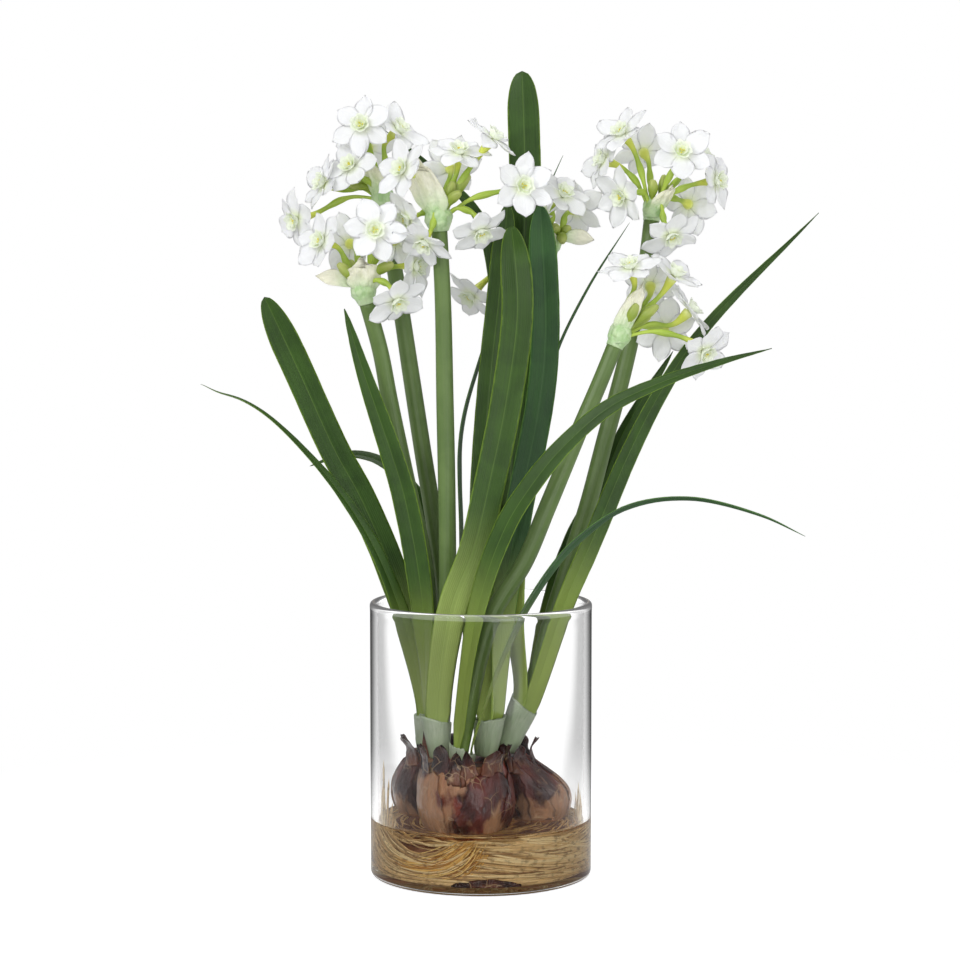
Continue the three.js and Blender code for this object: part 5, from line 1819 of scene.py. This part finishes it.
STEMS = (
    Stem("left_front", "back_left", (0.25, -0.7),
         ((-28, 7, 110), (-30, 5, 154), (-32, 4, 177), (-43, 1, 228), (-51, -3, 268), (-56, -7, 296), (-64, -11, 326)),
         7.0, (Bract(-80, 23, 19, (4, -2), 0.93),),
         (Floret((6, -19, 37), (0.05, -1, 0.1)), Floret((-24, -9, 31), (-0.7, -0.6, 0.3)),
          Floret((18, -17, -2), (0.4, -0.6, -0.7)), Floret((28, 2, 17), (0.8, -0.4, 0)),
          Floret((-10, 21, 30), (-0.3, 0.9, 0.2)), Floret((16, 20, 32), (0.4, 0.85, 0.2))),
         ((-15, -9, 19), (-9, 2, 21), (16, -7, 19)), ((-27, -9, 12),)),
    Stem("left_back", "back_left", (0.5, 0.6),
         ((-23, 16, 110), (-21, 17, 153), (-25, 17, 187), (-33, 18, 238), (-40, 20, 284), (-46, 21, 324),
          (-55, 22, 378)),
         6.4, (Bract(-110, 32, 15, (-7, -1), 0.93),),
         (Floret((-12, -14, 44), (-0.2, -0.95, 0.25)), Floret((9, -6, 42), (0.6, -0.4, 0.6)),
          Floret((-34, -6, 12), (-0.8, -0.4, 0.3)), Floret((-49, -12, -9), (-0.75, -0.6, -0.25)),
          Floret((-18, -16, 21), (-0.5, -0.7, 0.5)), Floret((-10, 22, 33), (-0.2, 0.9, 0.3))),
         ((-19, -3, 10),)),
    Stem("centre", "front_left", (0.1, 0.8),
         ((-22, -10, 106), (-19, -12, 157), (-19, -13, 212), (-20, -14, 269), (-21, -15, 324), (-23, -17, 366)),
         7.6, (Bract(-110, 35, 20, (-11, -2), 0.93),),
         (Floret((-20, -13, 30), (-0.6, -0.65, 0.35)), Floret((-18, -3, 3), (-0.7, -0.5, -0.3)),
          Floret((-8, -14, -10), (-0.35, -0.5, -0.75)), Floret((11, -3, 40), (0.1, -0.5, 0.8)),
          Floret((30, -1, 48), (0.6, -0.2, 0.75)), Floret((46, -15, 21), (0.35, -0.9, 0.1)),
          Floret((23, -11, -4), (0.3, -0.55, -0.75)), Floret((6, 23, 32), (0, 0.9, 0.35))),
         ((8, -3, 24), (17, 3, 28), (12, -9, 18))),
    Stem("middle_back", "middle", (0.1, 0),
         ((7, -6, 106), (9, 9, 140), (14, 22, 190), (22, 34, 266), (32, 42, 317), (40, 45, 353)),
         5.6, (Bract(-120, 13, 11, (-2, -1), 0.8),),
         (Floret((7, -11, 31), (0.45, -0.6, 0.65)), Floret((-5, 0, 20), (-0.4, -0.3, 0.8)),
          Floret((-46, -5, -27), (-0.6, -0.5, -0.6)), Floret((15, 10, 23), (0.5, 0.8, 0.3))),
         ((3, -7, 13), (12, -1, 12), (7, -7, 3)), ((25, -6, 5),)),
    Stem("right_top", "right", (0, 0),
         ((28, 4, 103), (43, 6, 154), (54, 9, 188), (61, 11, 210), (70, 14, 244), (82, 18, 289), (93, 22, 341),
          (97, 25, 372)),
         5.8, (Bract(-60, 18, 12, (6, -2), 0.6),),
         (Floret((-18, -11, 46), (-0.5, -0.5, 0.65)), Floret((-28, -3, 31), (-0.85, -0.3, 0.35)),
          Floret((-18, -15, 10), (-0.7, -0.6, -0.2)), Floret((15, -20, 35), (0.1, -0.9, 0.35)),
          Floret((36, -7, 19), (0.8, -0.5, 0.1)), Floret((30, 12, 33), (0.7, 0.1, 0.6)),
          Floret((10, -15, -12), (0.3, -0.6, -0.7)), Floret((-4, 25, 37), (-0.2, 0.8, 0.5)),
          Floret((23, 23, 6), (0.5, 0.8, -0.2))),
         ((0, -5, 20), (7, 2, 23))),
    Stem("right_low", "front", (0, 0),
         ((-5, -26, 108), (7, -27, 152), (24, -26, 180), (37, -25, 211), (54, -24, 252), (66, -22, 280),
          (75, -20, 302)),
         6.4, (Bract(-100, 37, 12, (2, 0), 0.45),),
         (Floret((7, -6, 41), (-0.2, -0.45, 0.85)), Floret((32, 2, 37), (0.5, -0.3, 0.8)),
          Floret((42, 12, 17), (0.75, -0.1, 0.6)), Floret((48, -8, -6), (0.6, -0.65, -0.5)),
          Floret((20, 24, 31), (0.1, 0.85, 0.5)), Floret((28, 24, 6), (0.3, 0.95, -0.1))),
         ((11, -4, 21), (23, 0, 20), (19, 6, 14))),
)


# ---------------------------------------------------------------------------------------------------- studio


@dataclass
class Studio:
    """A pale floor, soft lights and the camera."""

    distance: float = 1.5347
    height: float = 0.3504
    pitch: float = 4.73
    lens: float = 102.76
    aside: float = -0.0005
    gap: float = 0.0004

    def build_camera(self) -> None:
        """Places the camera in front of the arrangement, looking slightly down."""
        data = bpy.data.cameras.new("camera")
        data.lens = self.lens
        data.sensor_width = 36
        camera = bpy.data.objects.new("camera", data)
        camera.location = (self.aside, -self.distance, self.height)
        camera.rotation_euler = (math.radians(90 - self.pitch), 0, 0)
        bpy.context.scene.collection.objects.link(camera)
        bpy.context.scene.camera = camera

    def build_floor(self) -> None:
        """Lays the pale floor under the vase, large enough to reach past every view."""
        bm = bmesh.new()
        bmesh.ops.create_grid(bm, x_segments=1, y_segments=1, size=12.0, matrix=Matrix.Translation((0, 0, -self.gap)))
        mesh = bpy.data.meshes.new("floor")
        bm.to_mesh(mesh)
        bm.free()
        mesh.materials.append(FloorFinish().make())
        floor = bpy.data.objects.new("floor", mesh)
        bpy.context.scene.collection.objects.link(floor)
        floor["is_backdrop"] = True

    def add_panel(self, name: str, place: Point, size: tuple[float, float], power: float) -> None:
        """Hangs one soft rectangular light, aimed at the middle of the arrangement."""
        data = bpy.data.lights.new(name, "AREA")
        data.shape = "RECTANGLE"
        data.size, data.size_y = size
        data.energy = power
        lamp = bpy.data.objects.new(name, data)
        lamp.location = place
        aim = Vector((0, 0, 0.22)) - Vector(place)
        lamp.rotation_euler = aim.to_track_quat("-Z", "Y").to_euler()
        bpy.context.scene.collection.objects.link(lamp)

    def light(self) -> None:
        """Lights the scene from above and both sides, under an even pale sky."""
        self.add_panel("key panel", (-1.1, -1.3, 1.4), (0.8, 1.1), 11.5)
        self.add_panel("spark", (-0.6, -1.1, 0.95), (0.07, 0.07), 2.5)
        self.add_panel("low panel", (0.3, -0.6, 0.1), (0.35, 0.3), 1.1)
        self.add_panel("front panel", (-0.3, -1.7, 0.6), (1.3, 0.8), 7)
        self.add_panel("fill panel", (1.5, -0.7, 0.8), (0.6, 1.2), 5)
        self.add_panel("top panel", (0.2, 0.6, 1.7), (1.0, 1.0), 8)
        world = bpy.data.worlds.new("pale sky")
        world.use_nodes = True
        tree = Tree(world.node_tree)
        tree.tree.nodes.clear()
        seen = Surroundings().shine(tree, tree.add("ShaderNodeTexCoord").outputs["Generated"])
        sky = tree.add("ShaderNodeBackground")
        tree.feed(sky.inputs["Color"], seen)
        sky.inputs["Strength"].default_value = 1.0
        tree.feed(tree.add("ShaderNodeOutputWorld").inputs["Surface"], sky.outputs[0])
        bpy.context.scene.world = world

    def settle(self) -> None:
        """Sets how the picture is developed, and how far light is followed through the glass."""
        scene = bpy.context.scene
        scene.view_settings.view_transform = "Standard"
        scene.view_settings.look = "None"
        cycles = scene.cycles
        cycles.use_denoising = True
        cycles.max_bounces = 24
        cycles.transmission_bounces = 20
        cycles.transparent_max_bounces = 24
        cycles.glossy_bounces = 6
        cycles.diffuse_bounces = 4
        cycles.caustics_reflective = False
        cycles.caustics_refractive = False


def main(cad_box: tuple[Vector, Vector]) -> None:
    """Builds every piece in order."""
    logging.basicConfig(level=logging.INFO, format="%(name)s: %(message)s")
    studio = Studio()
    studio.build_camera()
    studio.build_floor()
    studio.light()
    studio.settle()
    vase = Vase()
    vase.build_glass()
    vase.build_water()
    for root_ball in ROOT_BALLS:
        root_ball.build()
    for bulb in BULBS:
        bulb.build()
    sheath = SHEATH_SKIN.make()
    for shoot in SHOOTS.values():
        shoot.build(sheath)
    greens = {key: finish.make() for key, finish in LEAF_FINISHES.items()}
    for leaf in LEAVES:
        leaf.build(greens[leaf.tone])
    stem_skin = STEM_SKIN.make()
    petals = [TEPAL_SKIN.make(), CUP_SKIN.make(), AntherFinish().make()]
    stalks = [TUBE_SKIN.make(), BUD_SKIN.make()]
    paper = SpatheFinish().make()
    for number, stem in enumerate(STEMS):
        stem.build(stem_skin)
        FlowerHead(stem, 100 + number).build(petals, stalks, paper)


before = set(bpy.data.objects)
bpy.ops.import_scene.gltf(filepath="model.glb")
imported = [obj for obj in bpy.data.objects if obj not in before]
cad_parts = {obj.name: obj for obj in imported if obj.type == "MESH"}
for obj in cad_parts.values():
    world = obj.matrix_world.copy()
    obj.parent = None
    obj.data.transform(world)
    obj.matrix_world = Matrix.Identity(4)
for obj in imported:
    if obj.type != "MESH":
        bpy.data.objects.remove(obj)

if __name__ == "__main__":
    main(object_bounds())
